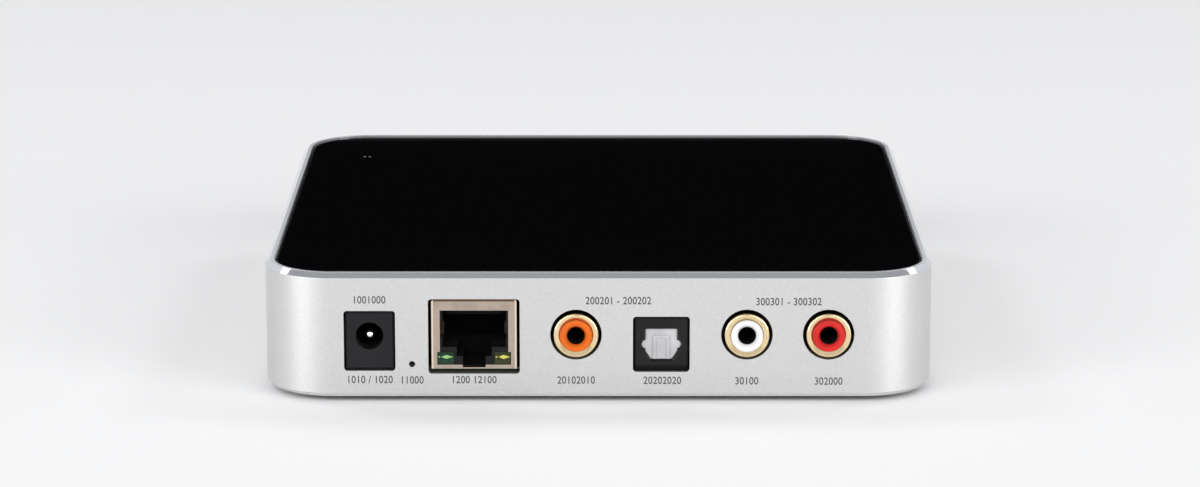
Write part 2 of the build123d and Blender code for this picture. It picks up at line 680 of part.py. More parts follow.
def board_holes():
    """Place, depth and radius of everything that goes through the board."""
    holes = power_pins() + ethernet_tail_pins() + ethernet_legs() + optical_pins()
    for x in (COAX_X, LEFT_X, RIGHT_X):
        holes += phono_pins(x)
    return holes


def phono_pins(x):
    """The phono jack's two terminals and two pegs."""
    strap = PHONO_STRAP_WIDTH / 2
    front = PHONO_BARREL_DEPTH - PHONO_STRAP_THICKNESS / 2
    back = PHONO_BARREL_DEPTH + PHONO_HOUSING_LENGTH + PHONO_STRAP_THICKNESS / 2
    peg_depth = PHONO_BARREL_DEPTH + PHONO_PEG_SETBACK
    pegs = [(place, peg_depth, PHONO_PEG_RADIUS) for place in about(x, PHONO_PEG_SPREAD)]
    return [(x, front, strap), (x, back, strap), *pegs]


def phono_frame(x):
    """The local frame of one phono jack, on its axis in the rear wall's face."""
    return PANEL * Pos(x, PHONO_AXIS_HEIGHT, 0)


def phono_barrel(x):
    """The jack's outer contact: a tube with a dished lip and a terminal down to the board."""
    outer = PHONO_BARREL_RADIUS
    inner = outer - PHONO_BARREL_WALL
    lip_inner = outer - 2 * PHONO_LIP_RADIUS
    shoulder = PHONO_SHOULDER_PROUD
    skirt = shoulder - PHONO_LIP_SKIRT
    back = -PHONO_BARREL_DEPTH - PHONO_BARREL_SEAT
    top = shoulder + PHONO_LIP_RADIUS
    rim = (outer, top - PHONO_LIP_RIM)
    crest = (outer - PHONO_LIP_RIM, top)
    seat = outer - PHONO_STEP
    inside = [(lip_inner, shoulder), (lip_inner, skirt), (inner, skirt), (inner, back)]
    outside = [(seat, back), (seat, -PHONO_STEP_DEPTH), (outer, -PHONO_STEP_DEPTH), rim]
    walls = Polyline(*inside, *outside)
    dish = Line(crest, (lip_inner, shoulder))
    tube = turned(walls + TangentArc(rim, crest, tangent=(0, 1)) + dish)
    low = -PHONO_AXIS_HEIGHT - PIN_REACH
    depth = (-PHONO_BARREL_DEPTH, -PHONO_BARREL_DEPTH + PHONO_STRAP_THICKNESS)
    strap = block(about(0, PHONO_STRAP_WIDTH), (low, -(seat + inner) / 2), depth)
    return phono_frame(x) * (tube + strap)


def phono_insulator(x):
    """The coloured core, with its countersunk bore and its seat for the centre contact."""
    front = PHONO_BARREL_RADIUS - 2 * PHONO_LIP_RADIUS - SEAT_CLEARANCE
    full = PHONO_BARREL_RADIUS - PHONO_BARREL_WALL - SEAT_CLEARANCE
    skirt = PHONO_SHOULDER_PROUD - PHONO_LIP_SKIRT - SEAT_CLEARANCE
    face, edge = PHONO_FACE_PROUD, PHONO_FACE_EDGE
    seat = PHONO_CONTACT_RADIUS + SEAT_CLEARANCE
    seat_back = -PHONO_CONTACT_DEPTH - PHONO_CONTACT_LENGTH - SEAT_CLEARANCE
    tail = PHONO_TAIL_RADIUS + SEAT_CLEARANCE
    back = -PHONO_BARREL_DEPTH - PHONO_INSULATOR_SEAT
    outline = Polyline(
        (PHONO_BORE_RADIUS + PHONO_COUNTERSINK, face),
        (front - edge, face),
        (front, face - edge),
        (front, skirt),
        (full, skirt),
        (full, back),
        (tail, back),
        (tail, seat_back),
        (seat, seat_back),
        (seat, -PHONO_CONTACT_DEPTH),
        (PHONO_BORE_RADIUS, -PHONO_CONTACT_DEPTH),
        (PHONO_BORE_RADIUS, face - PHONO_COUNTERSINK_DEPTH),
        close=True,
    )
    return phono_frame(x) * turned(outline)


def phono_contact(x):
    """The centre contact: a slotted spring tube, its tail and the terminal behind the housing."""
    front = -PHONO_CONTACT_DEPTH
    back = front - PHONO_CONTACT_LENGTH
    tube = rod(PHONO_CONTACT_RADIUS, (back, front))
    tube -= rod(PHONO_CONTACT_RADIUS - PHONO_CONTACT_WALL, (back + PHONO_CONTACT_WALL, front + OVERRUN))
    slot_floor = back + PHONO_CONTACT_LENGTH * PHONO_SLOT_ROOT_SHARE
    full = 2 * (PHONO_CONTACT_RADIUS + OVERRUN)
    tube -= block(about(0, PHONO_CONTACT_SLOT), about(0, full), (slot_floor, front + OVERRUN))
    tube -= block(about(0, full), about(0, PHONO_CONTACT_SLOT), (slot_floor, front + OVERRUN))
    end = -PHONO_BARREL_DEPTH - PHONO_HOUSING_LENGTH
    rear = end - PHONO_STRAP_THICKNESS
    tail = rod(PHONO_TAIL_RADIUS, (rear, back + PHONO_CONTACT_WALL / 2))
    heights = (-PHONO_AXIS_HEIGHT - PIN_REACH, PHONO_STRAP_WIDTH / 2)
    strap = block(about(0, PHONO_STRAP_WIDTH), heights, (rear, end))
    return phono_frame(x) * (tube + tail + strap)


def phono_housing(x):
    """The moulded block on the board that holds the barrel, with two locating pegs."""
    front = -PHONO_BARREL_DEPTH
    back = front - PHONO_HOUSING_LENGTH
    body = block(about(0, PHONO_HOUSING_WIDTH), (-PHONO_AXIS_HEIGHT, PHONO_HOUSING_RISE), (back, front))
    top = body.faces().sort_by(Axis.Y)[-1].edges().filter_by(Axis.Z)
    body = chamfer(top, PHONO_HOUSING_EDGE)
    seat = front - PHONO_BARREL_SEAT - SEAT_CLEARANCE
    body -= rod(PHONO_BARREL_RADIUS - PHONO_STEP + SEAT_CLEARANCE, (seat, front + OVERRUN))
    body -= rod(PHONO_TAIL_RADIUS + SEAT_CLEARANCE, (back - OVERRUN, front))
    housing = phono_frame(x) * body
    peg = rod(PHONO_PEG_RADIUS, (-BOARD_THICKNESS, PHONO_PEG_RADIUS))
    for place in about(x, PHONO_PEG_SPREAD):
        housing += BOARD * Pos(place, PHONO_BARREL_DEPTH + PHONO_PEG_SETBACK, 0) * peg
    return housing


def power_pins():
    """The power jack's two terminals."""
    strap = POWER_STRAP_WIDTH / 2
    back = POWER_RECESS + POWER_LENGTH + POWER_STRAP_THICKNESS / 2
    spring = POWER_RECESS + POWER_SPRING_ROOT + POWER_SPRING_THICKNESS / 2
    return [(POWER_X, back, strap), (POWER_X, spring, POWER_SPRING_WIDTH / 2)]


def power_jack_housing():
    """The moulded power jack: a square flange, a round-topped body and a stepped bore."""
    face, flange = -POWER_RECESS, -POWER_RECESS - POWER_FLANGE
    back = face - POWER_LENGTH
    top = POWER_LIFT + POWER_HEIGHT
    front = block(about(0, POWER_WIDTH), (POWER_LIFT, top), (flange, face))
    front = chamfer(front.faces().sort_by(Axis.Z)[-1].edges(), POWER_FLANGE_EDGE)
    half = POWER_WIDTH / 2 - POWER_BODY_INSET
    body = block((-half, half), (POWER_LIFT, POWER_AXIS_HEIGHT), (back, flange))
    axis = Pos(0, POWER_AXIS_HEIGHT, 0)
    body += axis * rod(half, (back, flange))
    housing = front + body
    housing -= axis * rod(POWER_BORE_RADIUS, (face - POWER_BORE_DEPTH, face + OVERRUN))
    housing -= axis * rod(POWER_ROOT_RADIUS + SEAT_CLEARANCE, (back - OVERRUN, face))
    slot_depth = (face - POWER_SLOT_END, face - POWER_SLOT_START)
    slot_height = (POWER_LIFT - OVERRUN, POWER_SLOT_HEIGHT)
    housing -= block(about(0, POWER_SLOT_WIDTH), slot_height, slot_depth)
    return PANEL * Pos(POWER_X, 0, 0) * housing


def power_jack_pin():
    """The round-tipped centre pin on its thicker root, riveted behind the housing, with its terminal."""
    radius, root = POWER_PIN_RADIUS, POWER_ROOT_RADIUS
    tip = -POWER_RECESS - POWER_PIN_RECESS
    back = -POWER_RECESS - POWER_LENGTH
    end = back - POWER_STRAP_THICKNESS
    head = POWER_HEAD_RADIUS
    floor = -POWER_RECESS - POWER_BORE_DEPTH
    rivet = [(0, tip), (0, end), (head, end), (head, back), (root, back), (root, floor)]
    sides = Polyline(*rivet, (radius, floor), (radius, tip - radius))
    arc_middle = (radius * 0.5**0.5, tip - radius + radius * 0.5**0.5)
    pin = turned(sides + ThreePointArc((radius, tip - radius), arc_middle, (0, tip)))
    low = -POWER_AXIS_HEIGHT - PIN_REACH
    pin += block(about(0, POWER_STRAP_WIDTH), (low, 0), (end, back))
    return PANEL * Pos(POWER_X, POWER_AXIS_HEIGHT, 0) * pin


def power_jack_spring():
    """The leaf that presses on the plug's sleeve, bent up from its terminal."""
    root = POWER_RECESS + POWER_SPRING_ROOT
    contact = POWER_AXIS_HEIGHT - POWER_BORE_RADIUS + POWER_SPRING_PROUD
    points = [
        (root, -PIN_REACH),
        (root, POWER_SPRING_BEND_HEIGHT),
        (POWER_RECESS + POWER_SPRING_REACH, contact - POWER_SPRING_THICKNESS),
        (POWER_RECESS + POWER_SPRING_TIP, contact - POWER_SPRING_THICKNESS - POWER_SPRING_DIP),
    ]
    leaf = across(strip(list(reversed(points)), POWER_SPRING_THICKNESS), POWER_SPRING_WIDTH)
    return BOARD * Pos(POWER_X, 0, 0) * leaf


def ethernet_frame():
    """The ethernet jack's local frame, at the middle of its front edge in the rear wall's face."""
    return PANEL * Pos(ETHERNET_X, ETHERNET_LIFT, 0)


def ethernet_window():
    """The shell's window: the plug's opening, wider at the two lamps, with the latch keyway below."""
    half, lamps, key = ETHERNET_WINDOW_WIDTH / 2, ETHERNET_LAMP_WINDOW_WIDTH / 2, ETHERNET_KEY_WIDTH / 2
    lamp_top, floor = ETHERNET_LAMP_WINDOW_TOP, ETHERNET_LAMP_WINDOW_FLOOR
    keyway = [(key, ETHERNET_WINDOW_FLOOR), (key, floor), (lamps, floor)]
    right = [*keyway, (lamps, lamp_top), (half, lamp_top), (half, ETHERNET_WINDOW_TOP)]
    left = [(-x, y) for x, y in reversed(right)]
    return make_face(Polyline(*right, *left, close=True))


def ethernet_shell():
    """The folded tinplate shell, with its window, two inner spring tabs and two board legs."""
    face, back = -ETHERNET_RECESS, -ETHERNET_RECESS - ETHERNET_LENGTH
    height, sheet = ETHERNET_HEIGHT, ETHERNET_SHEET
    outer = block(about(0, ETHERNET_WIDTH), (0, height), (back, face))
    outer = fillet(outer.edges().filter_by(Axis.Z).group_by(Axis.Y)[-1], ETHERNET_EDGE)
    inner = about(0, ETHERNET_WIDTH - 2 * sheet)
    shell = outer - block(inner, (sheet, height - sheet), (back - OVERRUN, face - sheet))
    shell -= Pos(0, 0, face - sheet - OVERRUN) * extrude(ethernet_window(), sheet + 2 * OVERRUN)
    shell -= block(inner, (-OVERRUN, sheet + OVERRUN), (back - OVERRUN, face - ETHERNET_FLOOR_LIP))
    for side in (-1, 1):
        shell += ethernet_leg(side)
    shell = ethernet_frame() * shell
    for side in (-1, 1):
        shell += ethernet_tab(side)
    return shell


def ethernet_tab(side):
    """A spring tab that bends in from one side of the window to touch the plug's shield."""
    edge = ETHERNET_WINDOW_WIDTH / 2
    front = ETHERNET_RECESS + ETHERNET_SHEET / 2
    tip = edge - ETHERNET_TAB_REACH
    bend, end = front + ETHERNET_TAB_LENGTH * TAB_BEND_SHARE, front + ETHERNET_TAB_LENGTH
    points = [(side * edge, front), (side * tip, bend), (side * (tip + ETHERNET_SHEET), end)]
    if side > 0:
        points.reverse()
    tab = extrude(strip(points, ETHERNET_SHEET), ETHERNET_TAB_HEIGHT)
    return BOARD * Pos(ETHERNET_X, 0, ETHERNET_LIFT + ETHERNET_TAB_FLOOR) * tab


def ethernet_leg(side):
    """A flat leg of the shell's side that goes down through the board."""
    outer = side * ETHERNET_WIDTH / 2
    inner = outer - side * ETHERNET_SHEET
    limits = (min(outer, inner), max(outer, inner))
    middle = -ETHERNET_RECESS - ETHERNET_LEG_DEPTH
    return block(limits, (-ETHERNET_LIFT - PIN_REACH, ETHERNET_SHEET), about(middle, ETHERNET_LEG_WIDTH))


def ethernet_legs():
    """The places of the shell's two legs in the board."""
    reach = ETHERNET_WIDTH / 2 - ETHERNET_SHEET / 2
    depth = ETHERNET_RECESS + ETHERNET_LEG_DEPTH
    return [(ETHERNET_X + side * reach, depth, ETHERNET_LEG_WIDTH / 2) for side in (-1, 1)]


def lamp_middle():
    """The lamps' distance from the jack's middle, and their height over the shell's floor."""
    reach = (ETHERNET_LAMP_WINDOW_WIDTH - ETHERNET_LAMP_WIDTH) / 2
    return reach, (ETHERNET_LAMP_WINDOW_TOP + ETHERNET_LAMP_WINDOW_FLOOR) / 2


def ethernet_insert():
    """The moulded insert: the plug's cavity, the latch's stepped keyway and the contact carrier."""
    gap = ETHERNET_SHEET + SEAT_CLEARANCE
    face = -ETHERNET_RECESS - gap
    back = -ETHERNET_RECESS - ETHERNET_LENGTH
    insert = block(about(0, ETHERNET_WIDTH - 2 * gap), (gap, ETHERNET_HEIGHT - gap), (back, face))
    front, cavity, key = face + OVERRUN, face - ETHERNET_CAVITY_DEPTH, face - ETHERNET_KEY_DEPTH
    step, floor = ETHERNET_STEP_FLOOR, ETHERNET_CAVITY_FLOOR
    insert -= block(about(0, ETHERNET_CAVITY_WIDTH), (floor, ETHERNET_CAVITY_TOP), (cavity, front))
    insert -= block(about(0, ETHERNET_STEP_WIDTH), (step, floor + OVERRUN), (key, front))
    insert -= block(about(0, ETHERNET_KEY_WIDTH), (ETHERNET_KEY_FLOOR, step + OVERRUN), (key, front))
    carrier = (face - ETHERNET_CARRIER_FRONT - ETHERNET_CARRIER_LENGTH, face - ETHERNET_CARRIER_FRONT)
    carrier_height = (ETHERNET_CARRIER_FLOOR, ETHERNET_CAVITY_TOP + ETHERNET_SHEET)
    insert += block(about(0, ETHERNET_CARRIER_WIDTH), carrier_height, carrier)
    clearance = ETHERNET_TAB_POCKET_CLEARANCE
    tab_height = (ETHERNET_TAB_FLOOR - clearance, ETHERNET_TAB_FLOOR + ETHERNET_TAB_HEIGHT + clearance)
    tab_depth = (face - ETHERNET_TAB_LENGTH - clearance, front)
    tab_width = ETHERNET_WINDOW_WIDTH + 2 * (ETHERNET_SHEET + clearance)
    insert -= block(about(0, tab_width), tab_height, tab_depth)
    lamp_x, lamp_y = lamp_middle()
    lamp_width = ETHERNET_LAMP_WIDTH + 2 * ETHERNET_LAMP_CLEARANCE
    lamp_height = ETHERNET_LAMP_HEIGHT + 2 * ETHERNET_LAMP_CLEARANCE
    for side in (-1, 1):
        lamp = (face - ETHERNET_LAMP_LENGTH, front)
        insert -= block(about(side * lamp_x, lamp_width), about(lamp_y, lamp_height), lamp)
    return ethernet_frame() * insert


def ethernet_lamp(side):
    """One of the two signal lamps beside the latch keyway."""
    face = -ETHERNET_RECESS - ETHERNET_SHEET - SEAT_CLEARANCE
    lamp_x, lamp_y = lamp_middle()
    depth = (face - ETHERNET_LAMP_LENGTH, face)
    lamp = block(about(side * lamp_x, ETHERNET_LAMP_WIDTH), about(lamp_y, ETHERNET_LAMP_HEIGHT), depth)
    return ethernet_frame() * lamp


def ethernet_wire_places():
    """The eight wires' places across the jack."""
    return spread(ETHERNET_WIRE_COUNT, ETHERNET_WIRE_PITCH)


def ethernet_tail_pins():
    """The places of the eight tails, staggered in two rows."""
    pins = []
    for index, x in enumerate(ethernet_wire_places()):
        depth = ETHERNET_RECESS + ETHERNET_TAIL_DEPTH + (index % 2) * ETHERNET_TAIL_STAGGER
        pins.append((ETHERNET_X + x, depth, ETHERNET_TAIL_RADIUS))
    return pins


def ethernet_contacts():
    """Eight gold spring wires under the carrier, and their tails under the insert."""
    face = ETHERNET_RECESS + ETHERNET_SHEET + SEAT_CLEARANCE
    start = face + ETHERNET_CARRIER_FRONT
    seat = start + ETHERNET_WIRE_SEAT
    end = seat + ETHERNET_WIRE_LENGTH
    floor = ETHERNET_LIFT + ETHERNET_CARRIER_FLOOR
    wire = strip([(end, floor - ETHERNET_WIRE_DROP), (seat, floor), (start, floor)], ETHERNET_WIRE_THICKNESS)
    spring = across(wire, ETHERNET_WIRE_WIDTH)
    wires = [BOARD * Pos(ETHERNET_X + x, 0, 0) * spring for x in ethernet_wire_places()]
    tail_top = ETHERNET_LIFT + ETHERNET_SHEET
    for x, depth, radius in ethernet_tail_pins():
        wires.append(BOARD * Pos(x, depth, 0) * rod(radius, (-PIN_REACH, tail_top)))
    return wires


def optical_frame():
    """The optical socket's local frame, above the middle of its foot in the rear wall's face."""
    return PANEL * Pos(OPTICAL_X, 0, 0)


def optical_mouth(grow):
    """The outline of the plug's opening: square shoulders, two round ears and a narrow toe."""
    half, toe = OPTICAL_MOUTH_WIDTH / 2 + grow, OPTICAL_MOUTH_TOE_WIDTH / 2 + grow
    top, floor = OPTICAL_MOUTH_TOP + grow, OPTICAL_MOUTH_FLOOR - grow
    knee = OPTICAL_MOUTH_FLOOR + OPTICAL_MOUTH_TOE_HEIGHT
    right = [(toe, floor), (half, knee), (half, top)]
    left = [(-x, y) for x, y in reversed(right)]
    mouth = make_face(Polyline(*right, *left, close=True))
    ears = SlotOverall(OPTICAL_EAR_WIDTH + 2 * grow, OPTICAL_EAR_HEIGHT + 2 * grow)
    return mouth + Pos(0, OPTICAL_EAR_RISE, 0) * ears


def shutter_place():
    """The hinge axis's distance out of the rear wall, at the middle of the shutter's thickness."""
    return -OPTICAL_RECESS - OPTICAL_FRONT_WALL - SHUTTER_GAP - SHUTTER_THICKNESS / 2


def optical_housing():
    """The moulded socket: bevelled mouth, hollow for the plug, and hinge holes for the shutter."""
    face = -OPTICAL_RECESS
    wall = face - OPTICAL_FRONT_WALL
    back = face - OPTICAL_LENGTH
    housing = block(about(0, OPTICAL_WIDTH), (0, OPTICAL_HEIGHT), (back, face))
    housing = chamfer(housing.faces().sort_by(Axis.Z)[-1].edges(), OPTICAL_FACE_EDGE)
    cavity_height = (OPTICAL_CAVITY_FLOOR, OPTICAL_CAVITY_TOP)
    housing -= block(about(0, OPTICAL_CAVITY_WIDTH), cavity_height, (back - OVERRUN, wall))
    housing -= Pos(0, 0, wall - OVERRUN) * extrude(optical_mouth(0), OPTICAL_FRONT_WALL + 2 * OVERRUN)
    bevel = loft([
        Pos(0, 0, face - OPTICAL_MOUTH_BEVEL) * optical_toe(0),
        Pos(0, 0, face) * optical_toe(OPTICAL_MOUTH_BEVEL),
    ])
    housing -= bevel
    hinge = OPTICAL_HINGE_RADIUS + OPTICAL_HINGE_CLEARANCE
    reach = OPTICAL_CAVITY_WIDTH + 2 * (OPTICAL_HINGE_LENGTH + OPTICAL_HINGE_CLEARANCE)
    axle = Rot(0, 90, 0) * rod(hinge, about(0, reach))
    housing -= Pos(0, OPTICAL_HINGE_HEIGHT, shutter_place()) * axle
    housing = optical_frame() * housing
    peg = rod(OPTICAL_PEG_RADIUS, (-BOARD_THICKNESS, OPTICAL_CAVITY_FLOOR / 2))
    for x in about(OPTICAL_X, OPTICAL_PEG_SPREAD):
        housing += BOARD * Pos(x, OPTICAL_PEG_DEPTH, 0) * peg
    return housing


def optical_toe(grow):
    """The lower half of the mouth's outline, which the housing's front bevel follows."""
    half, toe = OPTICAL_MOUTH_WIDTH / 2 + grow, OPTICAL_MOUTH_TOE_WIDTH / 2 + grow
    knee = OPTICAL_MOUTH_FLOOR + OPTICAL_MOUTH_TOE_HEIGHT
    right = [(toe, OPTICAL_MOUTH_FLOOR - grow), (half, knee), (half, OPTICAL_EAR_RISE)]
    left = [(-x, y) for x, y in reversed(right)]
    return make_face(Polyline(*right, *left, close=True))


def optical_shutter():
    """The shutter: a plate on two trunnions, with a raised face that fills the mouth."""
    axis = shutter_place()
    depth = about(axis, SHUTTER_THICKNESS)
    front = depth[1]
    plate = block(about(0, SHUTTER_WIDTH), (SHUTTER_FLOOR, OPTICAL_HINGE_HEIGHT), depth)
    roll = rod(SHUTTER_THICKNESS / 2, about(0, SHUTTER_WIDTH))
    trunnion = rod(OPTICAL_HINGE_RADIUS, about(0, OPTICAL_CAVITY_WIDTH + 2 * OPTICAL_HINGE_LENGTH))
    hinge = Pos(0, OPTICAL_HINGE_HEIGHT, axis) * Rot(0, 90, 0) * (roll + trunnion)
    shutter = plate + hinge
    shutter += Pos(0, 0, front) * extrude(optical_mouth(-SHUTTER_FACE_CLEARANCE), SHUTTER_FACE_PROUD)
    rib_low = OPTICAL_MOUTH_FLOOR + SHUTTER_FACE_CLEARANCE
    rib = front + SHUTTER_FACE_PROUD + SHUTTER_RIB_PROUD
    shutter += block(about(0, SHUTTER_RIB_WIDTH), (rib_low, SHUTTER_RIB_TOP), (front, rib))
    groove_top = SHUTTER_RIB_TOP - (SHUTTER_RIB_WIDTH - SHUTTER_GROOVE_WIDTH) / 2
    groove = (rib - SHUTTER_GROOVE_DEPTH, rib + OVERRUN)
    shutter -= block(about(0, SHUTTER_GROOVE_WIDTH), (rib_low - OVERRUN, groove_top), groove)
    return optical_frame() * shutter


def optical_shutter_spring():
    """The leaf spring that hangs from the socket's ceiling and holds the shutter shut."""
    ceiling = OPTICAL_CAVITY_TOP
    back = -shutter_place() + SHUTTER_THICKNESS / 2 + SHUTTER_GAP
    points = [
        (SHUTTER_SPRING_START + SHUTTER_SPRING_SEAT, ceiling),
        (SHUTTER_SPRING_START, ceiling),
        (back, ceiling - SHUTTER_SPRING_DROP),
    ]
    leaf = across(strip(points, SHUTTER_SPRING_THICKNESS), SHUTTER_SPRING_WIDTH)
    return BOARD * Pos(OPTICAL_X, 0, 0) * leaf


def emitter_front():
    """The depth of the emitter's face, at the back of the optical socket."""
    return OPTICAL_RECESS + OPTICAL_LENGTH


def optical_emitter():
    """The light emitter behind the socket: a moulded block, a ferrule guide and three pins."""
    front = emitter_front()
    body = block(about(0, EMITTER_WIDTH), (front, front + EMITTER_LENGTH), (0, EMITTER_HEIGHT))
    body = chamfer(body.faces().sort_by(Axis.Z)[-1].edges(), EMITTER_EDGE)
    guide = rod(EMITTER_FERRULE_RADIUS, (0, EMITTER_FERRULE_LENGTH))
    guide -= rod(EMITTER_FERRULE_BORE, (EMITTER_FERRULE_FLOOR, EMITTER_FERRULE_LENGTH + OVERRUN))
    emitter = BOARD * Pos(OPTICAL_X, 0, 0) * body
    emitter += PANEL * Pos(OPTICAL_X, EMITTER_AXIS_HEIGHT, -front) * guide
    for x, depth, radius in emitter_pins():
        emitter += BOARD * Pos(x, depth, 0) * rod(radius, (-PIN_REACH, EMITTER_PIN_SEAT))
    return emitter


def emitter_pins():
    """The places of the emitter's pins."""
    depth = emitter_front() + EMITTER_LENGTH / 2
    return [(OPTICAL_X + x, depth, EMITTER_PIN_RADIUS) for x in spread(EMITTER_PIN_COUNT, EMITTER_PIN_PITCH)]


def optical_pins():
    """Everything of the optical socket that goes through the board."""
    pegs = [(x, OPTICAL_PEG_DEPTH, OPTICAL_PEG_RADIUS) for x in about(OPTICAL_X, OPTICAL_PEG_SPREAD)]
    return pegs + emitter_pins()


def reset_pocket_floor():
    """The height of the reset switch's inner floor, just under its plunger."""
    return RESET_AXIS_HEIGHT - RESET_NECK_HEIGHT / 2 - RESET_NECK_CLEARANCE


def reset_switch_case():
    """The moulded case of the side-pressed switch, open at its top and front."""
    front = RESET_CASE_DEPTH
    case = block(about(0, RESET_CASE_WIDTH), (front, front + RESET_CASE_LENGTH), (0, RESET_CASE_HEIGHT))
    pocket_front = front + RESET_CASE_WALL
    heights = (reset_pocket_floor(), RESET_CASE_HEIGHT + OVERRUN)
    case -= block(about(0, RESET_POCKET_WIDTH), (pocket_front, pocket_front + RESET_POCKET_LENGTH), heights)
    slot = RESET_NECK_WIDTH + 2 * RESET_NECK_CLEARANCE
    case -= block(about(0, slot), (front - OVERRUN, pocket_front + RESET_POCKET_LENGTH / 2), heights)
    return BOARD * Pos(RESET_X, 0, 0) * case


def reset_switch_cover():
    """The folded metal cover that closes the switch from above."""
    sheet, front, top = RESET_COVER_SHEET, RESET_CASE_DEPTH, RESET_CASE_HEIGHT
    length = (front, front + RESET_CASE_LENGTH)
    cover = block(about(0, RESET_CASE_WIDTH + 2 * sheet), length, (top - RESET_COVER_SKIRT, top + sheet))
    cover -= block(about(0, RESET_CASE_WIDTH), (front - OVERRUN, length[1] + OVERRUN), (-OVERRUN, top))
    return BOARD * Pos(RESET_X, 0, 0) * cover


def reset_switch_plunger():
    """The switch's plunger: a neck that faces the pinhole and a flange that keeps it in."""
    front = RESET_CASE_DEPTH
    inner = front + RESET_CASE_WALL + SEAT_CLEARANCE
    heights = about(RESET_AXIS_HEIGHT, RESET_NECK_HEIGHT)
    neck = block(about(0, RESET_NECK_WIDTH), (front - RESET_NECK_PROUD, inner), heights)
    flange = block(about(0, RESET_FLANGE_WIDTH), (inner, inner + RESET_FLANGE_LENGTH), heights)
    return BOARD * Pos(RESET_X, 0, 0) * (neck + flange)


def reset_switch_dome():
    """The bowed snap spring between the plunger and the back of the case."""
    front = RESET_CASE_DEPTH + RESET_CASE_WALL + SEAT_CLEARANCE + RESET_FLANGE_LENGTH + SEAT_CLEARANCE
    back = RESET_CASE_DEPTH + RESET_CASE_WALL + RESET_POCKET_LENGTH
    half = RESET_DOME_WIDTH / 2
    sheet = RESET_DOME_THICKNESS
    outer = ThreePointArc((-half, back), (0, front), (half, back))
    inner = ThreePointArc((half - sheet, back), (0, front + sheet), (sheet - half, back))
    feet = Line((half, back), (half - sheet, back)) + Line((sheet - half, back), (-half, back))
    dome = extrude(make_face(outer + inner + feet), RESET_NECK_HEIGHT)
    return BOARD * Pos(RESET_X, 0, RESET_AXIS_HEIGHT - RESET_NECK_HEIGHT / 2) * dome


def status_lights():
    """Two small lamps on the board below the light guide."""
    lamp = block(about(0, LIGHT_WIDTH), about(0, LIGHT_LENGTH), (0, LIGHT_HEIGHT))
    return [BOARD * Pos(x, LIGHT_DEPTH, 0) * lamp for x in about(LIGHT_X, LIGHT_PITCH)]


def light_guide():
    """The clear guide that carries the status lights up to the glass in two round tips."""
    top = GLASS_BOTTOM - BOARD_TOP - GUIDE_TOP_GAP
    stem_top = top - GUIDE_TIP_LENGTH
    foot = block(about(0, GUIDE_FOOT_WIDTH), about(0, GUIDE_FOOT_LENGTH), (0, GUIDE_FOOT_HEIGHT))
    stem = block(about(0, GUIDE_STEM_WIDTH), about(0, GUIDE_STEM_LENGTH), (GUIDE_FOOT_HEIGHT, stem_top))
    guide = foot + stem
    for x in about(0, LIGHT_PITCH):
        guide += Pos(x, 0, 0) * rod(GUIDE_TIP_RADIUS, (stem_top, top))
    pocket_length = about(0, GUIDE_FOOT_LENGTH + OVERRUN)
    guide -= block(about(0, GUIDE_POCKET_WIDTH), pocket_length, (-OVERRUN, GUIDE_POCKET_HEIGHT))
    return BOARD * Pos(LIGHT_X, LIGHT_DEPTH, 0) * guide


def processor_chip():
    """The processor that runs the streamer."""
    return flat_package(PROCESSOR_X, PROCESSOR_DEPTH, PROCESSOR_SIDE, PROCESSOR_SIDE, PROCESSOR_HEIGHT)


def memory_chip():
    """The working memory beside the processor."""
    return flat_package(MEMORY_X, PROCESSOR_DEPTH, MEMORY_WIDTH, MEMORY_LENGTH, MEMORY_HEIGHT)


def flat_package(x, depth, width, length, height):
    """A moulded package without leads, bevelled round its top."""
    package = block(about(0, width), about(0, length), (0, height))
    package = chamfer(package.faces().sort_by(Axis.Z)[-1].edges(), PACKAGE_EDGE_SHARE * height)
    return BOARD * Pos(x, depth, 0) * package


def lead_side(width, height, span):
    """The side of a bent lead, from the middle of its package to its foot on the board."""
    foot = span / 2 - LEAD_FOOT
    knee = (width / 2 + foot) / 2
    return strip([(0, height / 2), (knee, height / 2), (foot, 0), (span / 2, 0)], LEAD_THICKNESS)


def leaded_package(x, depth, width, length, height, span, pitch, pins):
    """A moulded package with a row of bent leads on each side."""
    thickness = pitch * LEAD_WIDTH_SHARE
    lead = extrude(Plane.XZ * Pos(0, 0, -thickness / 2) * lead_side(width, height, span), thickness)
    package = block(about(0, width), about(0, length), (LEAD_THICKNESS, height))
    package = chamfer(package.faces().sort_by(Axis.Z)[-1].edges(), PACKAGE_EDGE_SHARE * height)
    for place in spread(pins, pitch):
        package += Pos(0, place, 0) * lead
        package += Pos(0, place, 0) * mirror(lead, Plane.YZ)
    return BOARD * Pos(x, depth, 0) * package


def small_chip(x, depth):
    """An eight-pin chip."""
    return leaded_package(
        x,
        depth,
        SMALL_CHIP_WIDTH,
        SMALL_CHIP_LENGTH,
        SMALL_CHIP_HEIGHT,
        SMALL_CHIP_SPAN,
        SMALL_CHIP_PITCH,
        SMALL_CHIP_PINS,
    )


def converter_chip():
    """The chip that turns the digital stream into the two analogue outputs."""
    return leaded_package(
        ANALOGUE_X,
        CONVERTER_DEPTH,
        CONVERTER_WIDTH,
        CONVERTER_LENGTH,
        CONVERTER_HEIGHT,
        CONVERTER_SPAN,
        CONVERTER_PITCH,
        CONVERTER_PINS,
    )


def ethernet_transformer():
    """The isolating transformer behind the ethernet jack."""
    return leaded_package(
        ETHERNET_X,
        TRANSFORMER_DEPTH,
        TRANSFORMER_WIDTH,
        TRANSFORMER_LENGTH,
        TRANSFORMER_HEIGHT,
        TRANSFORMER_SPAN,
        TRANSFORMER_PITCH,
        TRANSFORMER_PINS,
    )


